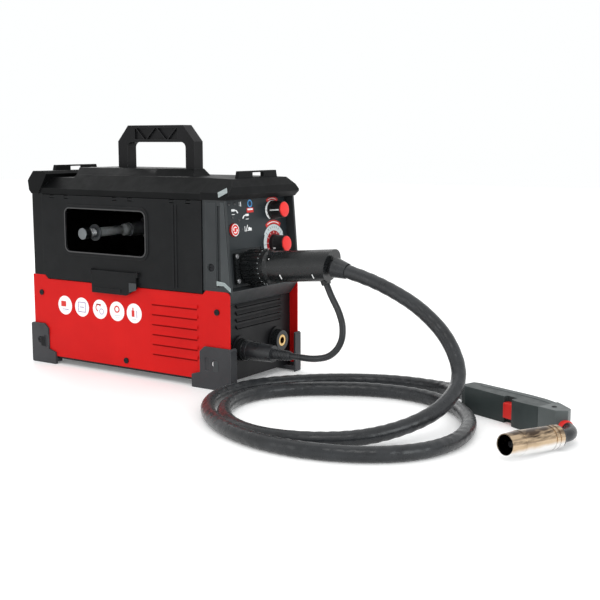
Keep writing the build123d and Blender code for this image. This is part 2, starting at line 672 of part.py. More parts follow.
def euro_nut():
    """Ribbed union nut that holds the torch lead to the machine."""
    x, z = EURO_AT
    near, far = EURO_NUT_OUT
    nut = panel_rod(x, z, EURO_NUT_RADIUS - 2.0, near, far)
    for i in range(EURO_NUT_RIDGES):
        angle = 2 * math.pi * i / EURO_NUT_RIDGES
        dx = (EURO_NUT_RADIUS - 2.4) * math.cos(angle)
        dz = (EURO_NUT_RADIUS - 2.4) * math.sin(angle)
        nut += panel_rod(x + dx, z + dz, 2.4, near + 2, far - 4)
    nut -= panel_rod(x, z, 13.8, near - 1, 25)
    nut -= panel_rod(x, z, 11.05, 24, far + 1)
    return nut


def euro_housing():
    """Torch-side connector body with its slanted end and the outlet of the polarity lead."""
    x, z = EURO_AT
    start = EURO_NUT_OUT[1] + 0.5
    body = panel_rod(x, z, EURO_BODY_RADIUS, start, EURO_END)
    body += panel_rod(x, z, EURO_BODY_RADIUS + 2.2, start, start + 3)
    body += panel_rod(x, z, EURO_BODY_RADIUS + 2.2, start + 3, start + 8, EURO_BODY_RADIUS)
    body += panel_rod(x, z, 11.0, 24.6, start + 1)
    outlet = Vector(*POLARITY_ROUTE[0])
    lead_way = (Vector(*POLARITY_ROUTE[1]) - outlet).normalized()
    body += rod(outlet - lead_way * 16, outlet, 6.5)
    cable_start = Vector(*TORCH_CABLE_ROUTE[0])
    cable_way = Vector(*TORCH_CABLE_ROUTE[1]) - cable_start
    body -= Plane(origin=cable_start, z_dir=cable_way) * Pos(0, 0, 50) * Box(120, 120, 100)
    return body


def cable_boot():
    """Rubber collar where the torch cable leaves the connector body."""
    start = Vector(*TORCH_CABLE_ROUTE[0])
    way = (Vector(*TORCH_CABLE_ROUTE[1]) - start).normalized()
    collar = rod(start + way * 5, start + way * 24, CABLE_RADIUS + 4.5, CABLE_RADIUS + 1.2)
    collar -= rod(start, start + way * 30, CABLE_RADIUS + 0.3)
    return collar


def output_sockets():
    """Two panel sockets, each an insulating body around a brass insert's seat."""
    sockets = []
    for x in (-SOCKET_X, SOCKET_X):
        body = rod((x, SOCKET_FACE_Y, SOCKET_Z), (x, FRONT_PANEL_Y, SOCKET_Z), SOCKET_RADIUS)
        body += rod((x, FRONT_PANEL_Y, SOCKET_Z), (x, -150, SOCKET_Z), 12.4)
        body -= rod((x, SOCKET_FACE_Y - 1, SOCKET_Z), (x, -149, SOCKET_Z), 8.3)
        sockets.append(body)
    return group(sockets)


def socket_inserts():
    """Brass inserts of the output sockets, bored for the plug pins."""
    inserts = []
    for x in (-SOCKET_X, SOCKET_X):
        insert = rod((x, SOCKET_FACE_Y + 0.4, SOCKET_Z), (x, -146, SOCKET_Z), 8.2)
        insert -= rod((x, SOCKET_FACE_Y - 1, SOCKET_Z), (x, -158, SOCKET_Z), SOCKET_BORE)
        inserts.append(insert)
    return group(inserts)


def polarity_plug():
    """Rubber-covered plug of the polarity lead, with its pin and ribbed strain relief."""
    x, z = -SOCKET_X, SOCKET_Z
    plug = rod((x, -190.5, z), (x, SOCKET_FACE_Y - 0.3, z), 13.6)
    plug += rod((x, -190.5, z), (x, -229, z), 12.9, 11.2)
    plug += rod((x, -229, z), (x, -257, z), 6.9, 5.6)
    for i in range(5):
        y = -233 - i * 4.6
        plug += rod((x, y, z), (x, y - 2.2, z), 7.6 - 0.25 * i)
    plug += rod((x, SOCKET_FACE_Y - 1, z), (x, -162, z), SOCKET_BORE - 0.1)
    return plug


# ---------------------------------------------------------------- torch

def torch_handle():
    """Torch grip, lying on its side: arched back, trigger opening and square nose block."""
    outline = [(-12, -11), (-4, -14), (40, -15.5), (75, -16.5), (100, -15), (126, -9), (148, 1.5), (152, 11),
               (143, 21), (118, 21), (98, 22), (84, 22), (77, 19.5), (77, 9), (61, 9), (61, 14.5),
               (20, 13.5), (-4, 13), (-12, 10.5)]
    grip = torch_prism(outline, *HANDLE_Z)
    mid = (HANDLE_Z[0] + HANDLE_Z[1]) / 2
    wall = 2.6
    trigger_space = [(59.5, -3), (78.5, -3), (78.5, 8), (59.5, 8)]
    grip -= torch_prism(trigger_space, mid - 11.2, mid + 11.2)
    grip -= torch_prism([(61.5, 5), (76.5, 5), (76.5, 25), (61.5, 25)], mid - 9.6, mid + 9.6)
    grip -= torch_prism([(100, -12), (128, -1), (128, 8), (100, 12)], HANDLE_Z[0] + wall, HANDLE_Z[1] - wall)
    points = neck_route()
    grip -= rod(points[0], points[1], 7.6)
    for edge in ((HANDLE_Z[0], 1), (HANDLE_Z[1], -1)):
        z, way = edge
        bevel = [(z - way, -40), (z - way, -14 + 3), (z + way * 4, -40)]
        grip -= torch_rear_bevel(bevel)
    return grip


def torch_rear_bevel(points):
    """A cutter across the rear of the grip that slopes its top and bottom towards the cable."""
    heading = (math.cos(TORCH_HEADING), math.sin(TORCH_HEADING))
    side = (heading[1], -heading[0])
    rear = torch_point(0, 0, 0)
    plane = Plane(origin=(rear[0] - side[0] * 40, rear[1] - side[1] * 40, 0),
                  x_dir=(heading[0], heading[1], 0), z_dir=(side[0], side[1], 0))
    sign = 1 if plane.y_dir.Z > 0 else -1
    return extrude(plane * Polygon(*[(a, sign * z) for z, a in points], align=None), amount=80, dir=plane.z_dir)


def torch_trigger():
    """Red push trigger with a retaining flange."""
    mid = (HANDLE_Z[0] + HANDLE_Z[1]) / 2
    trigger = torch_prism([(62, 4.6), (76, 4.6), (76, 18.2), (62, 17.6)], mid - 9.2, mid + 9.2)
    trigger += torch_prism([(60, 3.4), (78, 3.4), (78, 7.6), (60, 7.6)], mid - 10.8, mid + 10.8)
    return trigger


def neck_route():
    """Centre line of the swan neck, from inside the nose to the back of the nozzle."""
    mid = (HANDLE_Z[0] + HANDLE_Z[1]) / 2
    back, way, _ = nozzle_axis()
    return [Vector(*torch_point(118, 3, mid)), back - way * 30, back]


def torch_neck():
    """Bent neck tube."""
    points = neck_route()
    path = FilletPolyline(*points, radius=24)
    start = Plane(origin=points[0], z_dir=points[1] - points[0])
    return sweep(start * Circle(7.4), path=path)


def nozzle_axis():
    """Start point and unit direction of the nozzle, from its back to its mouth."""
    back = Vector(*NOZZLE_BACK)
    tip = Vector(*NOZZLE_TIP)
    return back, (tip - back).normalized(), (tip - back).length


def neck_ring():
    """Insulating collar between the neck and the nozzle."""
    back, way, _ = nozzle_axis()
    ring = rod(back + way * 0.2, back + way * 3.8, 12.2)
    ring += rod(back + way * 3.8, back + way * 8, NOZZLE_BORE - 0.1)
    return ring + rod(back + way * 8, back + way * 22, 8.6)


def gas_nozzle():
    """Chromed gas nozzle: two grooves near its back and a taper to its mouth."""
    back, way, length = nozzle_axis()
    shoulder = back + way * (length - 19)
    shell = rod(back + way * 4, shoulder, NOZZLE_RADIUS)
    shell += rod(shoulder, back + way * length, NOZZLE_RADIUS - 0.4, NOZZLE_MOUTH_RADIUS)
    for at in (10, 16.5):
        shell -= tube(back + way * at, back + way * (at + 2.6), NOZZLE_RADIUS + 1, NOZZLE_RADIUS - 0.9)
    shell -= rod(back + way * 3, back + way * (length + 1), NOZZLE_BORE)
    return shell


def contact_tip():
    """Gas diffuser with the copper contact tip in front."""
    back, way, length = nozzle_axis()
    tip = rod(back + way * 22, back + way * 44, 7.4)
    tip += rod(back + way * 44, back + way * (length - 8), 4.2, 3.4)
    tip -= rod(back + way * 54, back + way * length, 0.6)
    return tip


# ---------------------------------------------------------------- spool spindle and wire feeder

def spindle_bracket():
    """Boss on the far wall that carries the spool spindle."""
    bracket = rod((78, SPINDLE_Y, SPINDLE_Z), (24, SPINDLE_Y, SPINDLE_Z), 10.5)
    bracket += rod((78, SPINDLE_Y, SPINDLE_Z), (74, SPINDLE_Y, SPINDLE_Z), 22)
    bracket -= rod((23, SPINDLE_Y, SPINDLE_Z), (66, SPINDLE_Y, SPINDLE_Z), SPINDLE_RADIUS + RUN_CLEARANCE)
    return bracket


def spool_spindle():
    """Bright steel shaft with a shoulder that the spool seats against."""
    shaft = rod((-66, SPINDLE_Y, SPINDLE_Z), (64, SPINDLE_Y, SPINDLE_Z), SPINDLE_RADIUS)
    shaft += rod((14, SPINDLE_Y, SPINDLE_Z), (21, SPINDLE_Y, SPINDLE_Z), 9.0)
    shaft += rod((8, SPINDLE_Y, SPINDLE_Z), (14, SPINDLE_Y, SPINDLE_Z), 5.6, 8.9)
    return shaft


def brake_spring():
    """Helical brake spring around the outer end of the spindle."""
    return spring_coil((-60.5, SPINDLE_Y, SPINDLE_Z), 11.0, 4.0, 6.4, 0.8)


def spring_coil(start, length, turns, radius, wire):
    """A helical spring that runs along +X from start."""
    helix = Helix(pitch=length / turns, height=length, radius=radius)
    placed = Plane(origin=start, x_dir=(0, 1, 0), z_dir=(1, 0, 0)) * helix
    profile = Plane(origin=placed @ 0, z_dir=placed % 0) * Circle(wire)
    return sweep(profile, path=placed, is_frenet=True)


def spindle_nut():
    """Round end nut and the brake washer, which turn with the spindle."""
    nut = tube((-73.5, SPINDLE_Y, SPINDLE_Z), (-62.5, SPINDLE_Y, SPINDLE_Z), 8.4, SPINDLE_RADIUS)
    nut += rod((-73.5, SPINDLE_Y, SPINDLE_Z), (-69.5, SPINDLE_Y, SPINDLE_Z), 8.4)
    washer = tube((-48.2, SPINDLE_Y, SPINDLE_Z), (-46, SPINDLE_Y, SPINDLE_Z), 12.4, SPINDLE_RADIUS + 0.05)
    return group([nut, washer])


def roll_z(way):
    """Height of the drive roll (-1) or the pressure roll (1)."""
    return FEED_Z + way * (ROLL_RADIUS + WIRE_GAP / 2)


def feeder_plate():
    """Upright steel plate of the wire feeder with the inlet and outlet guides and the arm's pivot and stop."""
    floor = HOUSING_FLOOR + HOUSING_WALL
    plate = block(FEED_PLATE_X, FEED_PLATE_X + 5, -126, -22, floor, 204)
    plate += block(FEED_PLATE_X, FEED_PLATE_X + 30, -126, -22, floor, floor + 4)
    wire_x = FEED_PLATE_X - 10
    for y0, y1, stay in ((-147, -80, -100), (-48, -28, -36)):
        guide = rod((wire_x, y0, FEED_Z), (wire_x, y1, FEED_Z), 3.6)
        guide += block(wire_x, FEED_PLATE_X, stay - 5, stay + 5, FEED_Z - 3, FEED_Z + 3)
        guide -= rod((wire_x, y0 - 1, FEED_Z), (wire_x, y1 + 1, FEED_Z), 1.2)
        plate += guide
    z = roll_z(-1)
    plate -= rod((FEED_PLATE_X - 1, FEED_Y, z), (FEED_PLATE_X + 6, FEED_Y, z), 4.2)
    plate += rod((FEED_PLATE_X - 17, *ARM_PIVOT), (FEED_PLATE_X, *ARM_PIVOT), 3.0)
    plate += rod((FEED_PLATE_X - 16, ARM_TIP[0], ARM_TIP[1] - 13.6), (FEED_PLATE_X, ARM_TIP[0], ARM_TIP[1] - 13.6), 3.4)
    return plate


def feed_motor():
    """Gear motor behind the feeder plate."""
    z = roll_z(-1)
    motor = block(FEED_PLATE_X + 5.2, FEED_PLATE_X + 20, FEED_Y - 20, FEED_Y + 20, z - 11, z + 27)
    motor += rod((FEED_PLATE_X + 20, FEED_Y, z + 8), (FEED_PLATE_X + 66, FEED_Y, z + 8), 17)
    motor -= rod((FEED_PLATE_X, FEED_Y, z), (FEED_PLATE_X + 16, FEED_Y, z), 4.2)
    return motor


def feed_roll(way, bore):
    """A grooved roll with four lightening holes and a bore."""
    z = roll_z(way)
    wire_x = FEED_PLATE_X - 10
    roll = rod((wire_x - 5, FEED_Y, z), (wire_x + 5, FEED_Y, z), ROLL_RADIUS)
    for x in (wire_x - 2.5, wire_x + 2.5):
        roll -= tube((x - 0.5, FEED_Y, z), (x + 0.5, FEED_Y, z), ROLL_RADIUS + 1, ROLL_RADIUS - 0.6)
    for i in range(4):
        angle = math.radians(45 + 90 * i)
        y = FEED_Y + 6.9 * math.cos(angle)
        height = z + 6.9 * math.sin(angle)
        roll -= rod((wire_x - 6, y, height), (wire_x + 6, y, height), 1.5)
    if bore:
        roll -= rod((wire_x - 6, FEED_Y, z), (wire_x + 6, FEED_Y, z), bore)
    return roll


def drive_roll():
    """Drive roll on its shaft, with its retaining screw's head."""
    z = roll_z(-1)
    wire_x = FEED_PLATE_X - 10
    roll = feed_roll(-1, None)
    roll += rod((wire_x - 9, FEED_Y, z), (wire_x - 5, FEED_Y, z), 4.1)
    roll += rod((wire_x + 5, FEED_Y, z), (FEED_PLATE_X + 15, FEED_Y, z), 4.1)
    return roll


def pressure_arm():
    """Swing arm over the pressure roll, with the boss of the tension screw at its free end."""
    wire_x = FEED_PLATE_X - 10
    z = roll_z(1)
    arm = side_prism([(ARM_PIVOT[0] + 5, ARM_PIVOT[1] - 5), (ARM_PIVOT[0] + 5, ARM_PIVOT[1] + 6),
                      (FEED_Y + 6, z + 14), (ARM_TIP[0] - 6, ARM_TIP[1] + 10), (ARM_TIP[0] - 6, ARM_TIP[1] - 6),
                      (FEED_Y - 5, z - 5), (FEED_Y + 5, z - 5)], wire_x - 9.2, wire_x - 5.6)
    arm += rod((wire_x - 9.2, *ARM_PIVOT), (FEED_PLATE_X - 0.5, *ARM_PIVOT), 6)
    arm -= rod((wire_x - 12, *ARM_PIVOT), (FEED_PLATE_X, *ARM_PIVOT), 3.0 + RUN_CLEARANCE)
    arm += rod((wire_x - 6, FEED_Y, z), (wire_x + 6, FEED_Y, z), 3.0)
    boss = rod((wire_x, ARM_TIP[0], ARM_TIP[1] - 8), (wire_x, ARM_TIP[0], ARM_TIP[1] + 10), 6.6)
    arm += boss - rod((wire_x, ARM_TIP[0], ARM_TIP[1] - 4), (wire_x, ARM_TIP[0], ARM_TIP[1] + 12), 2.4 + RUN_CLEARANCE)
    return arm


def tension_knob():
    """Knurled knob of the tension screw, which turns in the arm's boss."""
    x = FEED_PLATE_X - 10
    y, z = ARM_TIP
    knob = rod((x, y, z - 3.5), (x, y, z + 14), 2.4)
    knob += rod((x, y, z + 10.3), (x, y, z + 32), 8.5, 7.4)
    for i in range(10):
        angle = math.radians(36 * i)
        side = (x + 8.9 * math.cos(angle), y + 8.9 * math.sin(angle))
        knob -= rod((*side, z + 12), (*side, z + 33), 1.2)
    return knob


# ---------------------------------------------------------------- power electronics

def main_board():
    """Power board on four standoffs."""
    z = PAN_BOTTOM + SHEET
    board = block(-66, 66, -128, 120, z + 12, z + 13.6)
    for x in (-60, 60):
        for y in (-122, 114):
            board += rod((x, y, z), (x, y, z + 12), 3)
    return board


def heat_sinks():
    """Two finned aluminium heat sinks along the airflow."""
    z = PAN_BOTTOM + SHEET + 13.6
    sinks = []
    for side in (-1, 1):
        sink = block(-2.5, 2.5, -50, 60, z, z + 62)
        for i in range(7):
            sink += block(2.5, 24, -50, 60, z + 4 + i * 9, z + 6.2 + i * 9)
        placed = sink if side > 0 else mirror(sink, about=Plane.YZ)
        sinks.append(Pos(side * 14, 0, 0) * placed)
    return group(sinks)


def transformer():
    """High-frequency transformer: ferrite frame around its winding."""
    z = PAN_BOTTOM + SHEET + 13.6
    frame = block(-34, 18, -112, -78, z, z + 52) - block(-25, -14, -113, -77, z + 9, z + 43)
    frame -= block(-2, 9, -113, -77, z + 9, z + 43)
    winding = block(-24.8, 8.8, -116, -74, z + 9.2, z + 42.8) - block(-14, -2, -117, -73, z + 8, z + 44)
    winding -= block(-14.2, -1.8, -113, -77, z + 8, z + 44)
    return frame + winding


def output_choke():
    """Ring-core output choke."""
    z = PAN_BOTTOM + SHEET + 13.6
    ring = tube((42, -95, z + 24), (60, -95, z + 24), 23, 11)
    return ring + block(44, 58, -116, -74, z, z + 4)


def capacitors():
    """Bank of four smoothing capacitors."""
    z = PAN_BOTTOM + SHEET + 13.6
    return group([rod((x, y, z), (x, y, z + 45), 12.5) for x in (-52, 52) for y in (78, 106)])


# ---------------------------------------------------------------- rear fittings

def fan_frame():
    """Square fan frame with a three-armed motor mount."""
    half = FAN_SIZE / 2
    frame = block(FAN_X - half, FAN_X + half, *FAN_Y, FAN_Z - half, FAN_Z + half)
    frame -= rod((FAN_X, FAN_Y[0] - 1, FAN_Z), (FAN_X, FAN_Y[1] + 1, FAN_Z), half - 2.5)
    frame += rod((FAN_X, FAN_Y[1] - 3, FAN_Z), (FAN_X, FAN_Y[1], FAN_Z), 14)
    for i in range(3):
        arm = block(FAN_X, FAN_X + half - 1, FAN_Y[1] - 3, FAN_Y[1], FAN_Z - 2, FAN_Z + 2)
        frame += arm.rotate(Axis((FAN_X, 0, FAN_Z), (0, 1, 0)), 30 + 120 * i)
    frame += rod((FAN_X, FAN_Y[0] + 4, FAN_Z), (FAN_X, FAN_Y[1] - 2, FAN_Z), 2)
    return frame


def fan_impeller():
    """Hub with seven pitched blades."""
    fan = rod((FAN_X, FAN_Y[0] + 2, FAN_Z), (FAN_X, FAN_Y[1] - 4, FAN_Z), 15)
    mid = (FAN_Y[0] + FAN_Y[1]) / 2 - 1
    for i in range(7):
        blade = Pos(24.5, 0, 0) * Rot(28, 0, 0) * Box(22, 20, 1.4)
        placed = Pos(FAN_X, mid, FAN_Z) * Rot(0, 360 / 7 * i, 0) * blade
        fan += placed
    fan -= rod((FAN_X, FAN_Y[0], FAN_Z), (FAN_X, FAN_Y[1], FAN_Z), 2 + RUN_CLEARANCE)
    keep = rod((FAN_X, FAN_Y[0] + 1.5, FAN_Z), (FAN_X, FAN_Y[1] - 3.8, FAN_Z), FAN_SIZE / 2 - 3.6)
    return fan & keep


def fan_guard():
    """Round guard over the fan opening: three rings on a cross, with four fixing lugs."""
    y0, y1 = REAR_PANEL_Y + 0.6, REAR_PANEL_Y + 3
    guard = tube((FAN_X, y0, FAN_Z), (FAN_X, y1, FAN_Z), 40, 37)
    for radius in (12, 25):
        guard += tube((FAN_X, y0, FAN_Z), (FAN_X, y1, FAN_Z), radius + 1.2, radius - 1.2)
    for i in range(2):
        bar = block(FAN_X - 44, FAN_X + 44, y0 + 0.2, y1 - 0.2, FAN_Z - 1.2, FAN_Z + 1.2)
        guard += bar.rotate(Axis((FAN_X, 0, FAN_Z), (0, 1, 0)), 45 + 90 * i)
    for i in range(4):
        angle = math.radians(45 + 90 * i)
        x = FAN_X + 44 * math.cos(angle)
        z = FAN_Z + 44 * math.sin(angle)
        guard += rod((x, REAR_PANEL_Y, z), (x, y1, z), 3.4)
    return guard


SWITCH_PIVOT = (176.2, 100.0)


def power_switch():
    """Body of the power switch, clipped into the rear panel."""
    body = block(37, 57, 152, 176, 87, 113) + block(34.5, 59.5, 176, 178.4, 84.5, 115.5)
    body -= block(39.5, 54.5, 164, 180, 89, 111)
    body -= rod((36, *SWITCH_PIVOT), (58, *SWITCH_PIVOT), 1.6)
    return body


def switch_rocker():
    """Rocker, shown in its off position."""
    y, z = SWITCH_PIVOT
    rocker = side_prism([(y - 5, z - 8), (y + 3.6, z - 10), (y + 2.2, z), (y + 3.6, z + 10), (y - 5, z + 8)],
                        39.9, 54.1)
    rocker += rod((37.5, y, z), (56.5, y, z), 1.6 - RUN_CLEARANCE)
    return rocker.rotate(Axis((0, y, z), (1, 0, 0)), -9)


def gas_inlet():
    """Shielding gas inlet: hexagonal body and a hose tail."""
    x, z = 47, 64
    inlet = rod((x, 160, z), (x, 176, z), 5)
    inlet += extrude(Plane(origin=(x, 176, z), z_dir=(0, 1, 0)) * RegularPolygon(8, 6), amount=5)
    inlet += rod((x, 181, z), (x, 194, z), 3.6)
    for y in (183, 187, 191):
        inlet += rod((x, y, z), (x, y + 2.6, z), 4.5, 3.7)
    inlet -= rod((x, 159, z), (x, 195, z), 2)
    return inlet


def mains_gland():
    """Cable gland of the mains lead."""
    x, z = 47, 34
    gland = rod((x, 164, z), (x, 176, z), 8)
    gland += extrude(Plane(origin=(x, 176, z), z_dir=(0, 1, 0)) * RegularPolygon(11, 6), amount=6)
    gland += rod((x, 182, z), (x, 190, z), 9.4, 7.2)
    gland -= rod((x, 163, z), (x, 191, z), 4)
    return gland


# ---------------------------------------------------------------- write every node

NODES = {
    "base_pan": base_pan,
    "side_cover_left": side_cover,
    "side_cover_right": lambda: mirror(side_cover(), about=Plane.YZ),
    "front_panel": front_panel,
    "rear_panel": rear_panel,
    "corner_feet": corner_feet,
    "case_screws": case_screws,
    "spool_housing": spool_housing,
    "hinge_pins": hinge_pins,
    "spool_door": spool_door,
    "window_pane": window_pane,
    "door_latch": door_latch,
    "roof_cover": roof_cover,
    "carry_handle": carry_handle,
    "front_bezel": front_bezel,
    "control_panel": control_panel,
    "knob_upper": lambda: panel_knob(KNOB_HEIGHTS["knob_upper"]),
    "knob_lower": lambda: panel_knob(KNOB_HEIGHTS["knob_lower"]),
    "mode_button": mode_button,
    "control_board": control_board,
    "euro_flange": euro_flange,
    "flange_screws": flange_screws,
    "euro_socket": euro_socket,
    "euro_nut": euro_nut,
    "euro_housing": euro_housing,
    "cable_boot": cable_boot,
    "output_sockets": output_sockets,
    "socket_inserts": socket_inserts,
    "polarity_plug": polarity_plug,
    "polarity_lead": lambda: cable(POLARITY_ROUTE, LEAD_RADIUS, "polarity lead"),
    "torch_cable": lambda: cable(TORCH_CABLE_ROUTE, CABLE_RADIUS, "torch cable"),
    "torch_handle": torch_handle,
    "torch_trigger": torch_trigger,
    "torch_neck": torch_neck,
    "neck_ring": neck_ring,
    "gas_nozzle": gas_nozzle,
    "contact_tip": contact_tip,
    "spindle_bracket": spindle_bracket,
    "spool_spindle": spool_spindle,
    "brake_spring": brake_spring,
    "spindle_nut": spindle_nut,
    "feeder_plate": feeder_plate,
    "feed_motor": feed_motor,
    "drive_roll": drive_roll,
    "pressure_roll": lambda: feed_roll(1, 3.0 + RUN_CLEARANCE),
    "pressure_arm": pressure_arm,
    "tension_knob": tension_knob,
    "main_board": main_board,
    "heat_sinks": heat_sinks,
    "transformer": transformer,
    "output_choke": output_choke,
    "capacitors": capacitors,
    "fan_frame": fan_frame,
    "fan_impeller": fan_impeller,
    "fan_guard": fan_guard,
    "power_switch": power_switch,
    "switch_rocker": switch_rocker,
    "gas_inlet": gas_inlet,
    "mains_gland": mains_gland,
}

os.makedirs("parts", exist_ok=True)
for name, make in NODES.items():
    export_step(make(), f"parts/{name}.step")
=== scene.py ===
import json
import math

import bmesh
import bpy
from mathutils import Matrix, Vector


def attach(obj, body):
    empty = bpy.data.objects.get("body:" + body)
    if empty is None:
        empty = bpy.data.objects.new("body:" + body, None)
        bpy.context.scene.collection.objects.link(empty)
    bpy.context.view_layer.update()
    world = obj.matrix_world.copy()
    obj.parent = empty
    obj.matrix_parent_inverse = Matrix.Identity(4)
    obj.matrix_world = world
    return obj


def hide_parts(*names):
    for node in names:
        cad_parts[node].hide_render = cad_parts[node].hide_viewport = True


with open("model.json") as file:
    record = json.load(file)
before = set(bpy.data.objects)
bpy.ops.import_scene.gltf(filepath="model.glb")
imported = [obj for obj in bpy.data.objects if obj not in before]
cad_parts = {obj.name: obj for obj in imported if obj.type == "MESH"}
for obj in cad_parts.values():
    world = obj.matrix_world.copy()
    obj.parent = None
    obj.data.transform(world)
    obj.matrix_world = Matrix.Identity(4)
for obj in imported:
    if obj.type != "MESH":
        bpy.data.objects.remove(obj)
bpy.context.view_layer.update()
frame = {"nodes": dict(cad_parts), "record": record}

NODES = frame["nodes"]
BODY_OF = {n: b for b, ns in frame["record"]["behaviour"]["bodies"].items() for n in ns}
SLOT_OF = {s["node"]: s["material_slot"] for s in frame["record"]["subparts"]}
MM = 0.001
PANEL_TILT = math.radians(4.8)
PANEL_TOP = (-164.0, 254.0)
PANEL_NORMAL = Vector((0, -math.cos(PANEL_TILT), math.sin(PANEL_TILT)))
PANEL_UP = Vector((0, math.sin(PANEL_TILT), math.cos(PANEL_TILT)))
EURO_AT = (-23.0, 161.0)
SIDE_X = -80.8
LATCH_X = -88.2
FOOT_X = -84.0
SPINDLE_Y, SPINDLE_Z = 88.0, 197.5


# ---------------------------------------------------------------- camera and light

def look(obj, at, along):
    """Places an object and turns its -Z axis along a direction."""
    obj.location = at
    obj.rotation_euler = Vector(along).to_track_quat("-Z", "Y").to_euler()


def area_light(name, at, target, size, energy, color=(1, 1, 1), size_y=None):
    data = bpy.data.lights.new(name, "AREA")
    data.shape = "RECTANGLE"
    data.size = size
    data.size_y = size_y or size
    data.energy = energy
    data.color = color
    lamp = bpy.data.objects.new(name, data)
    bpy.context.collection.objects.link(lamp)
    look(lamp, at, Vector(target) - Vector(at))
    return lamp


CAMERA_AT = (-1.1663, -1.0149, 0.3316)
CAMERA_ALONG = (0.8242, 0.5460, -0.1504)
camera_data = bpy.data.cameras.new("camera")
camera_data.lens = 63.0
camera_data.sensor_width = 36.0
camera = bpy.data.objects.new("camera", camera_data)
bpy.context.collection.objects.link(camera)
look(camera, CAMERA_AT, CAMERA_ALONG)
bpy.context.scene.camera = camera
bpy.context.scene.view_settings.view_transform = "Standard"

world = bpy.data.worlds.new("studio")
bpy.context.scene.world = world
world.use_nodes = True
backdrop = world.node_tree.nodes["Background"]
backdrop.inputs["Color"].default_value = (0.99, 1.0, 1.0, 1)
backdrop.inputs["Strength"].default_value = 1.0

area_light("key", (-1.5, -0.9, 1.9), (0, 0, 0.12), 1.0, 9, (1, 0.985, 0.96))
area_light("front_fill", (-0.5, -2.2, 0.7), (0, -0.2, 0.15), 1.0, 11, (0.93, 0.98, 1.0))
area_light("left_strip", (-1.9, 0.6, 0.5), (0, 0, 0.15), 0.3, 3, size_y=1.4)
area_light("top", (0.1, 0.1, 2.2), (0, 0, 0), 1.2, 2.5)
area_light("back_rim", (1.0, 1.5, 1.1), (0, 0, 0.2), 1.0, 7)


# ---------------------------------------------------------------- materials

class Nodes:
    """A small builder of one node material around a Principled shader."""

    def __init__(self, name, **settings):
        self.material = bpy.data.materials.new(name)
        self.material.use_nodes = True
        self.tree = self.material.node_tree
        self.shader = self.tree.nodes["Principled BSDF"]
        self.normal = None
        for socket, value in settings.items():
            self.shader.inputs[socket.replace("_", " ")].default_value = value
        self.coords = self.tree.nodes.new("ShaderNodeTexCoord").outputs["Object"]

    def new(self, kind, links=None, **values):
        node = self.tree.nodes.new(kind)
        for key, value in values.items():
            setattr(node, key, value)
        for socket, source in (links or {}).items():
            if isinstance(source, bpy.types.NodeSocket):
                self.tree.links.new(source, node.inputs[socket])
            else:
                node.inputs[socket].default_value = source
        return node

    def stretched(self, scale):
        return self.new("ShaderNodeMapping", {"Vector": self.coords, "Scale": scale}).outputs["Vector"]

    def noise(self, scale, detail=4.0, rough=0.55, vector=None):
        links = {"Vector": vector or self.coords, "Scale": scale, "Detail": detail, "Roughness": rough}
        return self.new("ShaderNodeTexNoise", links).outputs["Fac"]

    def cells(self, scale):
        return self.new("ShaderNodeTexVoronoi", {"Vector": self.coords, "Scale": scale}).outputs["Distance"]

    def ramp(self, value, low, high, to_low=0.0, to_high=1.0):
        links = {"Value": value, "From Min": low, "From Max": high, "To Min": to_low, "To Max": to_high}
        return self.new("ShaderNodeMapRange", links).outputs["Result"]

    def blend(self, fac, a, b):
        """Mixes two colours; the Mix node keeps its colour sockets at 6 and 7, and its colour output at 2."""
        node = self.new("ShaderNodeMix", {"Factor": fac}, data_type="RGBA")
        for index, color in ((6, a), (7, b)):
            if isinstance(color, bpy.types.NodeSocket):
                self.tree.links.new(color, node.inputs[index])
            else:
                node.inputs[index].default_value = (*color, 1)
        return node.outputs[2]

    def math(self, operation, a, b):
        return self.new("ShaderNodeMath", {0: a, 1: b}, operation=operation).outputs[0]

    def bump(self, height, distance, strength=1.0):
        links = {"Height": height, "Distance": distance, "Strength": strength}
        if self.normal:
            links["Normal"] = self.normal
        self.normal = self.new("ShaderNodeBump", links).outputs["Normal"]

    def color(self, socket):
        self.tree.links.new(socket, self.shader.inputs["Base Color"])

    def rough(self, socket):
        self.tree.links.new(socket, self.shader.inputs["Roughness"])

    def done(self):
        if self.normal:
            self.tree.links.new(self.normal, self.shader.inputs["Normal"])
        return self.material


def edge_rub_and_highlight_mask(m, width):
    """A mask that rises where the surface turns over an edge, for edges paled partly by wear and partly as painted
    highlight.
    """
    bevel = m.new("ShaderNodeBevel", {"Radius": width}, samples=4).outputs["Normal"]
    flat = m.new("ShaderNodeNewGeometry").outputs["Normal"]
    dot = m.new("ShaderNodeVectorMath", {0: bevel, 1: flat}, operation="DOT_PRODUCT").outputs["Value"]
    return m.ramp(dot, 0.995, 0.86)


def plastic(name, base, lift, rough, grain=1500.0, depth=0.00007, spread=0.09, gloss=0.22, wear_and_highlight=0.35):
    """Moulded plastic with a fine eroded texture, faint clouding and paler edges that are partly wear and partly
    painted highlight.
    """
    m = Nodes(name, Specular_IOR_Level=gloss)
    cloud = m.ramp(m.noise(14, 5, 0.6), 0.35, 0.68)
    body = m.blend(cloud, base, lift)
    # Paler edges: partly wear, partly painted highlight.
    rubbed_and_lit_edges = m.math("MULTIPLY", edge_rub_and_highlight_mask(m, 0.0012), wear_and_highlight)
    m.color(m.blend(rubbed_and_lit_edges, body, tuple(min(1, c * 2.6 + 0.02) for c in lift)))
    m.rough(m.ramp(m.noise(60, 6, 0.65), 0.3, 0.7, rough - spread, rough + spread))
    m.bump(m.noise(grain, 3, 0.7), depth, 0.55)
    m.bump(m.noise(90, 3, 0.5), 0.0002, 0.12)
    return m.done()


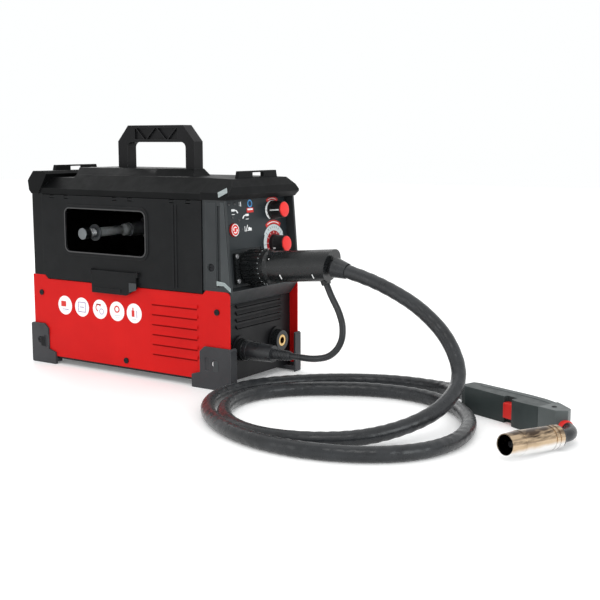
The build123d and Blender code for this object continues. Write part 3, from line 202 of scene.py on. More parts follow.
def paint(name, base, dark, rough=0.34, coat=0.1, gloss=0.18):
    """Powder coat: orange peel, a few dust nibs, and a slightly deeper tone in places."""
    m = Nodes(name, Coat_Weight=coat, Coat_Roughness=0.22, Specular_IOR_Level=gloss)
    m.color(m.blend(m.ramp(m.noise(9, 4, 0.6), 0.35, 0.7), base, dark))
    m.rough(m.ramp(m.noise(45, 5, 0.6), 0.3, 0.7, rough - 0.06, rough + 0.07))
    m.bump(m.noise(420, 3, 0.55), 0.00016, 0.35)
    m.bump(m.cells(160), 0.00005, 0.12)
    return m.done()


def metal(name, base, dark, rough, brush=None, scratch=0.3, metallic=1.0):
    """Machined, turned or plated metal; brush stretches its marks along one axis."""
    m = Nodes(name, Metallic=metallic)
    marks = m.noise(500, 4, 0.7, m.stretched(brush) if brush else None)
    m.color(m.blend(m.ramp(m.noise(40, 5, 0.6), 0.3, 0.75), base, dark))
    m.rough(m.ramp(marks, 0.25, 0.75, max(0.04, rough - 0.1), rough + 0.12))
    m.bump(marks, 0.00004, scratch)
    return m.done()


def chrome_with_painted_reflection(name, cool, tan, brown, low, high):
    """Plated steel with a painted reflection: tan and brown on its upper side, silver below."""
    m = Nodes(name, Metallic=1.0)
    height = m.new("ShaderNodeSeparateXYZ", {"Vector": m.coords}).outputs["Z"]
    wander = m.math("MULTIPLY_ADD", m.noise(55, 3, 0.5), 0.006)
    m.tree.links.new(height, wander.node.inputs[2])
    # Painted reflection: tan above a height that wanders a little.
    painted_upper_reflection = m.blend(m.ramp(wander, low, low + (high - low) * 0.35), cool, tan)
    streaks = m.ramp(m.noise(120, 3, 0.5, m.stretched((0.3, 0.3, 2.2))), 0.42, 0.62)
    # Painted reflection: brown streaks higher up on the same side.
    painted_dark_reflection = m.math("MULTIPLY", m.ramp(wander, low + (high - low) * 0.3, high), streaks)
    m.color(m.blend(painted_dark_reflection, painted_upper_reflection, brown))
    m.rough(m.ramp(m.noise(200, 4, 0.6), 0.3, 0.7, 0.08, 0.2))
    m.bump(m.noise(700, 3, 0.6), 0.00003, 0.2)
    return m.done()


def printed(name, color, rough=0.42):
    """Screen-printed ink with a little uneven coverage."""
    m = Nodes(name, Specular_IOR_Level=0.25)
    dim = tuple(c * 0.82 for c in color)
    m.color(m.blend(m.ramp(m.noise(700, 3, 0.6), 0.35, 0.7), color, dim))
    m.rough(m.ramp(m.noise(300, 2, 0.5), 0.3, 0.7, rough - 0.06, rough + 0.06))
    m.bump(m.noise(1500, 2, 0.5), 0.00003, 0.3)
    return m.done()


def rubber(name, base, lift, rough):
    """Soft sheath: dull bloom, fine pores and shallow creases across it."""
    m = Nodes(name, Sheen_Weight=0.08, Sheen_Roughness=0.45, Specular_IOR_Level=0.35)
    m.color(m.blend(m.ramp(m.noise(28, 6, 0.65), 0.35, 0.72), base, lift))
    m.rough(m.ramp(m.noise(80, 5, 0.6), 0.3, 0.7, rough - 0.08, rough + 0.1))
    m.bump(m.noise(38, 3, 0.5), 0.0016, 0.45)
    m.bump(m.noise(150, 4, 0.6), 0.0005, 0.4)
    m.bump(m.noise(1900, 2, 0.6), 0.00005, 0.4)
    return m.done()


def clear_plastic(name):
    """Clear moulded pane with faint handling marks."""
    m = Nodes(name, Alpha=0.05, Specular_IOR_Level=0.0)
    m.rough(m.ramp(m.noise(120, 6, 0.7), 0.45, 0.8, 0.04, 0.14))
    m.bump(m.noise(30, 2, 0.5), 0.0002, 0.08)
    m.color(m.blend(m.ramp(m.noise(18, 4, 0.6), 0.4, 0.8), (0.001, 0.001, 0.001), (0.003, 0.003, 0.003)))
    return m.done()


def lamp_glow(name, color):
    """Printed ring with the faint light of an indicator behind it."""
    m = Nodes(name, Emission_Strength=0.35)
    m.shader.inputs["Emission Color"].default_value = (*color, 1)
    m.color(m.blend(m.noise(600, 2, 0.5), color, tuple(c * 0.7 for c in color)))
    m.rough(m.ramp(m.noise(300), 0.3, 0.7, 0.2, 0.35))
    return m.done()


MAT = {
    "red_steel": paint("red_powder_coat", (0.58, 0.0105, 0.0095), (0.50, 0.008, 0.008), 0.36, 0.04, 0.06),
    # Painted shadow red for under the louvre lips.
    "red_shade": paint("red_powder_coat_shaded", (0.26, 0.005, 0.005), (0.19, 0.004, 0.004), 0.5, 0.0, 0.02),
    "black_steel": paint("black_powder_coat", (0.005, 0.005, 0.006), (0.008, 0.008, 0.009), 0.45, 0.02, 0.18),
    "black_plastic": plastic("black_housing_plastic", (0.0055, 0.006, 0.0065), (0.0085, 0.009, 0.0098), 0.48,
                             gloss=0.13),
    "roof_plastic": plastic("roof_plastic", (0.0035, 0.0038, 0.004), (0.006, 0.0064, 0.0068), 0.5, gloss=0.09,
                            wear_and_highlight=0.45),
    "handle_plastic": plastic("handle_plastic", (0.004, 0.004, 0.0045), (0.007, 0.007, 0.008), 0.38, gloss=0.16,
                              wear_and_highlight=0.7),
    "bezel_plastic": plastic("bezel_plastic", (0.024, 0.027, 0.029), (0.032, 0.036, 0.038), 0.44),
    "cheek_plastic": plastic("cheek_plastic", (0.036, 0.041, 0.044), (0.050, 0.056, 0.058), 0.36, wear_and_highlight=0.2),
    # Pale grey that paints the highlight on glossy chamfers.
    "painted_highlight_plastic": plastic("painted_highlight_strip", (0.22, 0.26, 0.26), (0.30, 0.34, 0.34), 0.42),
    "foot_plastic": plastic("foot_plastic", (0.030, 0.031, 0.034), (0.044, 0.045, 0.049), 0.48),
    "gloss_rim": plastic("glossy_rim", (0.010, 0.010, 0.011), (0.014, 0.014, 0.015), 0.16, 600, 0.00002, 0.04, 0.7),
    "screw_steel": metal("zinc_screw", (0.66, 0.66, 0.67), (0.45, 0.45, 0.47), 0.32),
    "dark_screw_and_tip_shade": metal("blackened_screw_and_tip_shade", (0.03, 0.031, 0.033), (0.018, 0.018, 0.02), 0.2),
    # Near white and barely metallic: the spindle's brightness is a painted highlight.
    "spindle_painted_shine": metal("spindle_painted_shine", (0.93, 0.98, 0.98), (0.72, 0.77, 0.78), 0.24, scratch=0.12,
                           metallic=0.1),
    "dull_steel": metal("dull_steel", (0.30, 0.32, 0.33), (0.18, 0.19, 0.2), 0.34),
    "clear_pane": clear_plastic("clear_pane"),
    "panel_print": plastic("panel_film", (0.016, 0.021, 0.024), (0.020, 0.026, 0.030), 0.36, 900, 0.00003, 0.05),
    "knob_plastic": plastic("knob_plastic", (0.010, 0.010, 0.011), (0.016, 0.016, 0.017), 0.40),
    "button_red": printed("red_button_cap", (0.72, 0.03, 0.025), 0.32),
    "board_green": plastic("solder_mask", (0.012, 0.11, 0.045), (0.02, 0.16, 0.07), 0.30, 600, 0.00008),
    "brass": metal("brass", (0.78, 0.55, 0.25), (0.58, 0.38, 0.15), 0.28, scratch=0.35),
    "connector_black": plastic("connector_plastic", (0.0085, 0.0095, 0.010), (0.014, 0.0155, 0.0165), 0.26, 1300,
                               0.00002, gloss=0.36, wear_and_highlight=0.12),
    "cable_rubber": rubber("cable_sheath", (0.011, 0.012, 0.0135), (0.023, 0.025, 0.028), 0.28),
    "torch_plastic": plastic("torch_plastic", (0.026, 0.034, 0.034), (0.040, 0.049, 0.049), 0.42, 1100, 0.0001),
    "torch_socket": plastic("torch_socket", (0.075, 0.085, 0.085), (0.10, 0.112, 0.112), 0.36, 1100, 0.00006),
    "torch_inlay": plastic("torch_inlay", (0.042, 0.051, 0.051), (0.056, 0.067, 0.067), 0.38, 1100, 0.00006),
    "trigger_red": plastic("trigger_red", (0.60, 0.02, 0.018), (0.68, 0.04, 0.03), 0.38, 1300, 0.00004),
    # The nozzle's tan and brown upper side is a painted reflection.
    "nozzle_chrome": chrome_with_painted_reflection("nozzle_chrome", (0.80, 0.79, 0.78), (0.56, 0.42, 0.28), (0.07, 0.045, 0.03),
                                   0.014, 0.027),
    "grey_plastic": plastic("grey_boss", (0.22, 0.23, 0.25), (0.3, 0.31, 0.33), 0.42),
    "bright_steel": metal("turned_steel", (0.82, 0.83, 0.84), (0.66, 0.67, 0.69), 0.22, scratch=0.12),
    "motor_black": paint("motor_paint", (0.02, 0.02, 0.022), (0.035, 0.035, 0.037), 0.3),
    "cast_aluminium": metal("aluminium", (0.74, 0.75, 0.76), (0.58, 0.59, 0.6), 0.42, scratch=0.5),
    "ferrite": plastic("ferrite", (0.05, 0.05, 0.055), (0.08, 0.08, 0.085), 0.6, 800, 0.0002),
    "capacitor_sleeve": plastic("capacitor_sleeve", (0.012, 0.016, 0.05), (0.02, 0.025, 0.08), 0.22, 900, 0.00002),
    "white_print": printed("white_print", (0.95, 0.96, 0.96)),
    "red_print": printed("red_print", (0.66, 0.03, 0.025)),
    "dark_red_print": printed("dark_red_print", (0.36, 0.012, 0.014)),
    "grey_print": printed("grey_print", (0.60, 0.66, 0.67)),
    "purple_print": printed("purple_print", (0.30, 0.16, 0.40)),
    "dark_print": printed("dark_print", (0.02, 0.022, 0.024)),
    "blue_led": lamp_glow("blue_led", (0.05, 0.26, 0.55)),
    "blue_lens": plastic("blue_lens", (0.005, 0.02, 0.06), (0.01, 0.03, 0.08), 0.2, 900, 0.00002),
    "smoke_lens": plastic("smoke_lens", (0.03, 0.03, 0.032), (0.05, 0.05, 0.052), 0.2, 900, 0.00002, gloss=0.5),
    "knob_red": plastic("knob_cap_red", (0.70, 0.022, 0.022), (0.78, 0.035, 0.03), 0.4, 1300, 0.00005),
    # Near black that paints the shade inside holes and behind openings.
    "painted_shade_dark": plastic("painted_recess_shade", (0.004, 0.004, 0.005), (0.008, 0.008, 0.009), 0.6),
}


# ---------------------------------------------------------------- mesh helpers

def finish_mesh(obj, mat, body, slot=None, bevel=None, segments=3, angle=32):
    """Links a new mesh object, softens its edges, gives it a material and a body to ride on."""
    bpy.context.collection.objects.link(obj)
    obj.data.materials.clear()
    obj.data.materials.append(MAT[mat])
    for face in obj.data.polygons:
        face.use_smooth = True
    obj.data.set_sharp_from_angle(angle=math.radians(angle))
    if bevel:
        mod = obj.modifiers.new("soft_edges", "BEVEL")
        mod.width = bevel * MM
        mod.segments = segments
        mod.limit_method = "ANGLE"
        mod.angle_limit = math.radians(angle)
        mod.harden_normals = True
        mod.use_clamp_overlap = True
        even = obj.modifiers.new("even_shading", "WEIGHTED_NORMAL")
        even.keep_sharp = True
    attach(obj, body)
    return obj


WELD = 2e-6
FLAT = math.radians(1.0)
# The flat faces of these go round openings or ribs, so they stay in triangles.
FRAMED = ("front_bezel", "control_panel", "euro_nut")


def refine(node, bevel, mat=None):
    """A softened copy of a CAD node that stands for it: flat faces are merged and edges are rounded."""
    mesh = NODES[node].data.copy()
    bm = bmesh.new()
    bm.from_mesh(mesh)
    bmesh.ops.remove_doubles(bm, verts=bm.verts, dist=WELD)
    if node not in FRAMED:
        bmesh.ops.dissolve_limit(bm, angle_limit=FLAT, verts=bm.verts, edges=bm.edges)
    bm.to_mesh(mesh)
    bm.free()
    obj = bpy.data.objects.new(node + "_shell", mesh)
    finish_mesh(obj, mat or SLOT_OF[node], BODY_OF[node], SLOT_OF[node], bevel, segments=2)
    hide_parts(node)
    return obj


def from_bmesh(name, bm, mat, body="machine", slot=None, bevel=None, **more):
    """One piece from a finished bmesh."""
    mesh = bpy.data.meshes.new(name)
    bmesh.ops.recalc_face_normals(bm, faces=bm.faces)
    bm.to_mesh(mesh)
    bm.free()
    return finish_mesh(bpy.data.objects.new(name, mesh), mat, body, slot, bevel, **more)


def placed(points, origin, x_dir, y_dir):
    """2-D points in millimetres put in the plane through origin (millimetres) as metres."""
    o, x, y = Vector(origin) * MM, Vector(x_dir).normalized(), Vector(y_dir).normalized()
    return [o + x * (p[0] * MM) + y * (p[1] * MM) for p in points]


def add_prism(bm, points, origin, x_dir, y_dir, depth):
    """An outline raised along its normal by depth, in millimetres."""
    normal = Vector(x_dir).cross(Vector(y_dir)).normalized()
    corners = placed(points, origin, x_dir, y_dir)
    low = [bm.verts.new(v) for v in corners]
    up = [bm.verts.new(v + normal * depth * MM) for v in corners]
    count = len(points)
    bm.faces.new(low[::-1])
    bm.faces.new(up)
    for i in range(count):
        bm.faces.new((low[i], low[(i + 1) % count], up[(i + 1) % count], up[i]))


def prism(name, outlines, origin, x_dir, y_dir, depth, mat, body="machine", bevel=None):
    """One piece from one or several outlines on the same plane."""
    bm = bmesh.new()
    for outline in outlines:
        add_prism(bm, outline, origin, x_dir, y_dir, depth)
    return from_bmesh(name, bm, mat, body, bevel=bevel)


def lathe(name, profile, start, axis, mat, body="machine", segments=48):
    """A turned piece: (distance along, radius) pairs in millimetres around an axis."""
    axis = Vector(axis).normalized()
    side = axis.orthogonal().normalized()
    other = axis.cross(side)
    bm = bmesh.new()
    rings = []
    for along, radius in profile:
        centre = Vector(start) * MM + axis * along * MM
        if radius < 1e-6:
            rings.append([bm.verts.new(centre)])
            continue
        rings.append([bm.verts.new(centre + (side * math.cos(a) + other * math.sin(a)) * radius * MM)
                      for a in (2 * math.pi * i / segments for i in range(segments))])
    for first, second in zip(rings, rings[1:]):
        for i in range(segments):
            j = (i + 1) % segments
            corners = [first[i % len(first)], first[j % len(first)],
                       second[j % len(second)], second[i % len(second)]]
            corners = list(dict.fromkeys(corners))
            if len(corners) > 2:
                bm.faces.new(corners)
    return from_bmesh(name, bm, mat, body)


def circle(cx, cy, radius, count):
    """A round outline."""
    return [(cx + radius * math.cos(2 * math.pi * i / count), cy + radius * math.sin(2 * math.pi * i / count))
            for i in range(count)]


def arc_band(cx, cy, inner, outer, start, end, count=24, squash=1.0):
    """A curved band as one outline, angles in degrees; squash flattens it vertically."""
    angles = [math.radians(start + (end - start) * i / count) for i in range(count + 1)]
    outside = [(cx + outer * math.cos(a), cy + outer * squash * math.sin(a)) for a in angles]
    inside = [(cx + inner * math.cos(a), cy + inner * squash * math.sin(a)) for a in reversed(angles)]
    return outside + inside


def ring(cx, cy, inner, outer, squash=1.0):
    """A whole ring as two half bands."""
    return [arc_band(cx, cy, inner, outer, start, start + 180, 20, squash) for start in (0, 180)]


def bar(x0, y0, x1, y1, width):
    """A straight stroke between two points."""
    dx, dy = x1 - x0, y1 - y0
    length = math.hypot(dx, dy)
    nx, ny = -dy / length * width / 2, dx / length * width / 2
    return [(x0 + nx, y0 + ny), (x0 - nx, y0 - ny), (x1 - nx, y1 - ny), (x1 + nx, y1 + ny)]


def rounded(x0, x1, y0, y1, radius, steps=5):
    """A rectangle with round corners."""
    points = []
    for cx, cy, turn in ((x1 - radius, y1 - radius, 0), (x0 + radius, y1 - radius, 90),
                         (x0 + radius, y0 + radius, 180), (x1 - radius, y0 + radius, 270)):
        for i in range(steps + 1):
            a = math.radians(turn + 90 * i / steps)
            points.append((cx + radius * math.cos(a), cy + radius * math.sin(a)))
    return points


def smooth_curve(name, route):
    """A NURBS curve over the route's points, in metres."""
    data = bpy.data.curves.new(name, "CURVE")
    data.dimensions = "3D"
    data.resolution_u = 16
    spline = data.splines.new("NURBS")
    spline.points.add(len(route) - 1)
    for point, place in zip(spline.points, route):
        point.co = (*place, 1)
    spline.order_u = 3
    spline.use_endpoint_u = True
    obj = bpy.data.objects.new(name, data)
    bpy.context.collection.objects.link(obj)
    return obj


def line_of(route):
    """Points along the route's smooth line."""
    guide = smooth_curve("guide", route)
    mesh = bpy.data.meshes.new_from_object(guide)
    points = [v.co.copy() for v in mesh.vertices]
    bpy.data.objects.remove(guide)
    bpy.data.meshes.remove(mesh)
    return points


# ---------------------------------------------------------------- cables

TORCH_ROUTE = [
    (-0.023, -0.3065, 0.1708), (-0.023, -0.350, 0.162), (-0.024, -0.396, 0.147), (-0.028, -0.440, 0.127),
    (-0.038, -0.482, 0.096), (-0.062, -0.511, 0.057), (-0.108, -0.511, 0.032), (-0.160, -0.494, 0.019),
    (-0.206, -0.460, 0.0105), (-0.240, -0.410, 0.0091), (-0.252, -0.350, 0.0091), (-0.230, -0.293, 0.0091),
    (-0.184, -0.251, 0.0091), (-0.132, -0.233, 0.0091), (-0.083, -0.242, 0.0091), (-0.045, -0.271, 0.0091),
    (-0.014, -0.315, 0.0091), (0.009, -0.366, 0.0091), (0.011, -0.422, 0.0091), (-0.010, -0.474, 0.0091),
    (-0.050, -0.514, 0.0091), (-0.101, -0.539, 0.0091), (-0.157, -0.548, 0.0091), (-0.209, -0.535, 0.0091),
    (-0.248, -0.498, 0.0091), (-0.270, -0.445, 0.0091), (-0.275, -0.385, 0.0091), (-0.260, -0.325, 0.0091),
    (-0.229, -0.271, 0.0091), (-0.186, -0.227, 0.0091), (-0.134, -0.203, 0.0091), (-0.080, -0.203, 0.0091),
    (-0.032, -0.226, 0.0091), (0.014, -0.266, 0.0091), (0.048, -0.316, 0.0091), (0.065, -0.372, 0.0091),
    (0.063, -0.424, 0.0096), (0.042, -0.459, 0.0132), (0.0185, -0.4854, 0.0163),
]
LEAD_ROUTE = [
    (-0.023, -0.299, 0.147), (-0.024, -0.3065, 0.132), (-0.028, -0.320, 0.116), (-0.032, -0.330, 0.096),
    (-0.036, -0.330, 0.074), (-0.040, -0.316, 0.056), (-0.0426, -0.293, 0.0506), (-0.043, -0.272, 0.0506),
    (-0.043, -0.257, 0.0506),
]


def tube_along(name, points, radius, wrinkle, segments=24):
    """A sheath that follows a line, with creases and swells along it."""
    bm = bmesh.new()
    rings = []
    tangent = (points[1] - points[0]).normalized()
    side = tangent.cross(Vector((0, 0, 1))).normalized()
    travelled = 0.0
    for i, point in enumerate(points):
        ahead = points[min(i + 1, len(points) - 1)]
        behind = points[max(i - 1, 0)]
        along = (ahead - behind).normalized()
        side = (side - along * side.dot(along)).normalized()
        other = along.cross(side)
        if i:
            travelled += (point - points[i - 1]).length
        ring = []
        for k in range(segments):
            a = 2 * math.pi * k / segments
            crease = math.sin(travelled * 420 + 2.1 * math.sin(a * 2 + travelled * 31))
            crease *= math.sin(a + travelled * 12)
            swell = math.sin(travelled * 47 + 1.3 * math.sin(travelled * 19)) * 0.35
            r = radius * (1 + wrinkle * (crease * 0.5 + swell * 0.6 - 0.35))
            ring.append(bm.verts.new(point + (side * math.cos(a) + other * math.sin(a)) * r))
        rings.append(ring)
    for first, second in zip(rings, rings[1:]):
        for k in range(segments):
            j = (k + 1) % segments
            bm.faces.new((first[k], first[j], second[j], second[k]))
    bm.faces.new(rings[0][::-1])
    bm.faces.new(rings[-1])
    return from_bmesh(name, bm, "cable_rubber", "machine", "cable_rubber", angle=60)


def resampled(points, step):
    """The same line with evenly spaced points."""
    result = [points[0]]
    want, done = step, 0.0
    for a, b in zip(points, points[1:]):
        piece = (b - a).length
        while done + piece >= want:
            result.append(a.lerp(b, (want - done) / piece))
            want += step
        done += piece
    result[-1] = points[-1]
    return result


TORCH_CABLE_RADIUS = 0.009
LEAD_RADIUS = 0.0043
torch_line = line_of(TORCH_ROUTE)
torch_cable = tube_along("torch_cable_sheath", resampled(torch_line, 0.0025), TORCH_CABLE_RADIUS, wrinkle=0.055)
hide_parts("torch_cable")
lead_line = line_of(LEAD_ROUTE)
lead = tube_along("polarity_lead_sheath", resampled(lead_line, 0.002), LEAD_RADIUS, wrinkle=0.02)
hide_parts("polarity_lead")


# ---------------------------------------------------------------- CAD pieces with softened edges

# Width of each piece's rounded edges, in millimetres.
EDGES = {
    "side_cover_left": 0.5, "side_cover_right": 0.5, "front_panel": 0.4, "rear_panel": 0.4, "corner_feet": 0.9,
    "spool_housing": 0.8, "spool_door": 0.6, "door_latch": 0.6, "roof_cover": 1.2, "carry_handle": 1.2,
    "front_bezel": 0.9, "control_panel": 0.3, "knob_upper": 0.4, "knob_lower": 0.4, "mode_button": 0.5,
    "euro_socket": 0.4, "euro_nut": 0.4, "euro_housing": 1.2, "cable_boot": 0.6, "output_sockets": 0.5,
    "socket_inserts": 0.3, "polarity_plug": 0.5, "torch_handle": 2.2, "torch_trigger": 0.8, "neck_ring": 0.5,
    "gas_nozzle": 0.25, "contact_tip": 0.3, "spindle_bracket": 0.5, "spool_spindle": 0.3, "spindle_nut": 0.3,
    "feeder_plate": 0.4, "feed_motor": 0.6, "drive_roll": 0.3, "pressure_roll": 0.3, "pressure_arm": 0.4,
    "tension_knob": 0.4, "fan_frame": 0.4, "fan_guard": 0.4, "power_switch": 0.4, "switch_rocker": 0.4,
    "gas_inlet": 0.3, "mains_gland": 0.4, "case_screws": 0.3, "base_pan": 0.3, "heat_sinks": 0.2,
    "euro_flange": 0.4, "flange_screws": 0.2,
}
# Materials that differ from the node's own slot.
LOOKS = {
    "carry_handle": "handle_plastic", "front_bezel": "bezel_plastic", "corner_feet": "foot_plastic",
    "case_screws": "dark_screw_and_tip_shade", "base_pan": "black_steel", "neck_ring": "gloss_rim", "roof_cover": "roof_plastic",
    "spindle_nut": "dull_steel", "feeder_plate": "dull_steel", "spool_spindle": "spindle_painted_shine",
    # The contact tip inside the nozzle takes the dark screw metal as painted shade.
    "contact_tip": "dark_screw_and_tip_shade",
}
SHELLS = {}
for node_name, node in NODES.items():
    if node.hide_render:
        continue
    if node_name in EDGES:
        SHELLS[node_name] = refine(node_name, EDGES[node_name], LOOKS.get(node_name))
    else:
        node.data.materials.clear()
        node.data.materials.append(MAT[SLOT_OF[node_name]])


# ---------------------------------------------------------------- control panel artwork and caps

KNOB_X = 45.5
KNOB_OUT = 19.5
# Height of each knob, where its pointer stands in degrees, and how far the pointer reaches.
KNOBS = {"knob_up": (234.8, 180, 19.0), "knob_low": (187.1, 205, 8.5)}
BUTTON_AT = (-47.5, 213.0)
BUTTON_OUT = 3.0


def panel_spot(x, z, out=0.0):
    """A point over the control panel, in millimetres."""
    y = PANEL_TOP[0] - (PANEL_TOP[1] - z) * math.tan(PANEL_TILT)
    return Vector((x, y, z)) + PANEL_NORMAL * out


def panel_print(name, outlines, mat, out=0.0, depth=0.15, body="machine", bevel=None):
    """Flat pieces on the panel; their outlines are points of X and Z on the machine."""
    lower = math.cos(PANEL_TILT)
    flat = [[(x, (z - PANEL_TOP[1]) / lower) for x, z in outline] for outline in outlines]
    origin = panel_spot(0, PANEL_TOP[1], out)
    return prism(name, flat, origin, (1, 0, 0), PANEL_UP, depth, mat, body, bevel)


def moved(outline, dx, dz, mirror):
    """An outline shifted, and turned left to right where mirror is -1."""
    return [(dx + x * mirror, dz + z) for x, z in outline]


def spoke(centre, degrees, inner, outer, width):
    """A short line that points away from a dial's centre."""
    x, z = centre
    a = math.radians(degrees)
    return bar(x + inner * math.cos(a), z + inner * math.sin(a), x + outer * math.cos(a), z + outer * math.sin(a),
               width)


def torch_icon(dx, dz, mirror):
    """A small welding torch: grip, neck, nozzle and a line under it."""
    shapes = [rounded(-7.6, -0.2, 1.0, 4.0, 0.8), bar(-0.6, 2.6, 3.6, 1.6, 1.5), bar(3.0, 1.9, 6.6, -1.8, 2.0),
              bar(-7.0, -3.0, -0.5, -3.0, 0.8)]
    return [moved(shape, dx, dz, mirror) for shape in shapes]


def dial_one():
    """Scale, marks and banner of the upper knob."""
    centre = (KNOB_X, 234.6)
    panel_print("dial_one_scale", [arc_band(*centre, 12.0, 17.4, -62, 242, 60, 0.8)], "white_print")
    ticks = []
    for i in range(11):
        a = math.radians(-55 + i * 29)
        ticks.append(bar(centre[0] + 13.4 * math.cos(a), centre[1] + 10.7 * math.sin(a),
                         centre[0] + 15.8 * math.cos(a), centre[1] + 12.6 * math.sin(a), 0.7))
    panel_print("dial_one_marks", ticks, "dark_print", depth=0.25)
    panel_print("dial_one_banner", [arc_band(*centre, 18.0, 23.4, 52, 128, 20, 0.8)], "red_print")
    panel_print("dial_one_banner_line", [arc_band(*centre, 20.0, 20.9, 62, 118, 16, 0.8)], "white_print",
                depth=0.25)


def dial_two():
    """Two-ring scale, marks and banner of the lower knob."""
    centre = (44.2, 187.6)
    bands = [arc_band(*centre, 18.4, 25.4, -52, 32, 30), arc_band(*centre, 18.4, 27.2, 32, 148, 40),
             arc_band(*centre, 18.4, 25.4, 148, 232, 30)]
    panel_print("dial_two_scale", bands, "grey_print")
    panel_print("dial_two_band", [arc_band(*centre, 13.4, 18.6, -56, 236, 60)], "dark_red_print", depth=0.2)
    lines = [spoke(centre, degrees, 19.2, 25.0, 0.5) for degrees in (-38, 0, 42, 138, 180, 218)]
    lines += [spoke(centre, degrees, 22.0, 24.6, 0.8) for degrees in range(60, 130, 12)]
    panel_print("dial_two_lines", lines, "dark_print", depth=0.25)
    marks = [spoke(centre, -50 + i * 28, 15.0, 17.2, 0.6) for i in range(11)]
    panel_print("dial_two_marks", marks, "white_print", depth=0.3)
    panel_print("dial_two_banner", [arc_band(*centre, 28.0, 33.2, 56, 124, 24)], "red_print")
    panel_print("dial_two_banner_line", [arc_band(*centre, 30.0, 31.2, 64, 116, 20)], "white_print",
                depth=0.25)


def panel_symbols():
    """Generic signs, an indicator in a blue ring and the small mode lamps."""
    panel_print("torch_symbols", torch_icon(-42.0, 236.6, 1) + torch_icon(-19.0, 228.8, -1), "white_print")
    lift = [bar(-22.2, 209.4, -22.2, 216.4, 1.1), bar(-20.2, 209.2, -15.6, 217.8, 1.3),
            circle(-12.4, 212.4, 2.4, 16), circle(-8.8, 211.8, 1.9, 16), bar(-17.0, 210.2, -6.8, 210.2, 1.0)]
    panel_print("lift_symbol", lift, "white_print")
    panel_print("burn_symbol", [bar(-28.2, 243.4, -28.2, 249.6, 1.5), bar(-31.2, 243.8, -31.2, 249.4, 0.4)],
                "white_print")
    panel_print("socket_ring", ring(-7.1, 246.2, 3.7, 5.3), "blue_led")
    lathe("socket_lens", [(0, 3.6), (0.5, 3.4), (0.8, 2.0), (0.9, 0)], panel_spot(-7.1, 246.2), PANEL_NORMAL,
          "blue_lens")
    panel_print("socket_label", [rounded(-15.2, 0.2, 234.2, 240.6, 0.8)], "red_print")
    panel_print("socket_label_line", [rounded(-13.6, -1.4, 237.4, 239.6, 0.5)], "white_print", depth=0.25)
    lamps = ((-54.5, 247.4), (-41.5, 247.4), (-47.5, 229.4), (-33.9, 225.4), (-28.6, 212.7))
    for i, (x, z) in enumerate(lamps):
        lathe(f"mode_lamp_{i + 1}", [(0, 1.9), (0.5, 1.8), (1.0, 1.2), (1.2, 0)], panel_spot(x, z), PANEL_NORMAL,
              "smoke_lens", segments=20)


def button_cap():
    """White ring and two turning arrows on the mode button."""
    x, z = BUTTON_AT
    white = ring(x, z, 7.1, 8.1)
    white += [arc_band(x, z, 3.2, 4.6, 40, 160, 14), arc_band(x, z, 3.2, 4.6, 220, 340, 14)]
    for degrees in (165, 345):
        a = math.radians(degrees)
        tip = math.radians(degrees + 38)
        white.append([(x + 2.0 * math.cos(a), z + 2.0 * math.sin(a)),
                      (x + 5.8 * math.cos(a), z + 5.8 * math.sin(a)),
                      (x + 4.2 * math.cos(tip), z + 4.2 * math.sin(tip))])
    panel_print("button_mark", white, "white_print", BUTTON_OUT - 0.02, 0.14, "button")


def knob_caps():
    """Red cap and white pointer of each knob."""
    for body, (z, degrees, reach) in KNOBS.items():
        lathe(body + "_cap", [(0, 0), (0, 10.4), (1.4, 10.4), (2.1, 9.7), (2.4, 8.6), (2.5, 0)],
              panel_spot(KNOB_X, z, KNOB_OUT - 0.05), PANEL_NORMAL, "knob_red", body)
        a = math.radians(degrees)
        radial = Vector((1, 0, 0)) * math.cos(a) + PANEL_UP * math.sin(a)
        prism(body + "_pointer", [rounded(2.0, reach, -0.9, 0.9, 0.4)], panel_spot(KNOB_X, z) + radial * 12.2,
              PANEL_NORMAL, radial.cross(PANEL_NORMAL), 0.75, "white_print", body)


dial_one()
dial_two()
panel_symbols()
button_cap()
knob_caps()


# ---------------------------------------------------------------- side cover symbols, cheek and pillar

BADGES_Y = (120.0, 85.6, 49.6, 16.5, -16.2)
BADGE_Z, BADGE_RADIUS = 91.0, 14.0
LOUVRE_ROWS, LOUVRE_BOTTOM, LOUVRE_PITCH = 6, 38.0, 14.0


def side_print(name, outlines, mat, depth=0.12, x=SIDE_X, body="machine", bevel=None):
    """Flat pieces on the left side; their outlines are points of Y and Z on the machine."""
    flat = [[(-y, z) for y, z in outline][::-1] for outline in outlines]
    return prism(name, flat, (x, 0, 0), (0, -1, 0), (0, 0, 1), depth, mat, body, bevel)


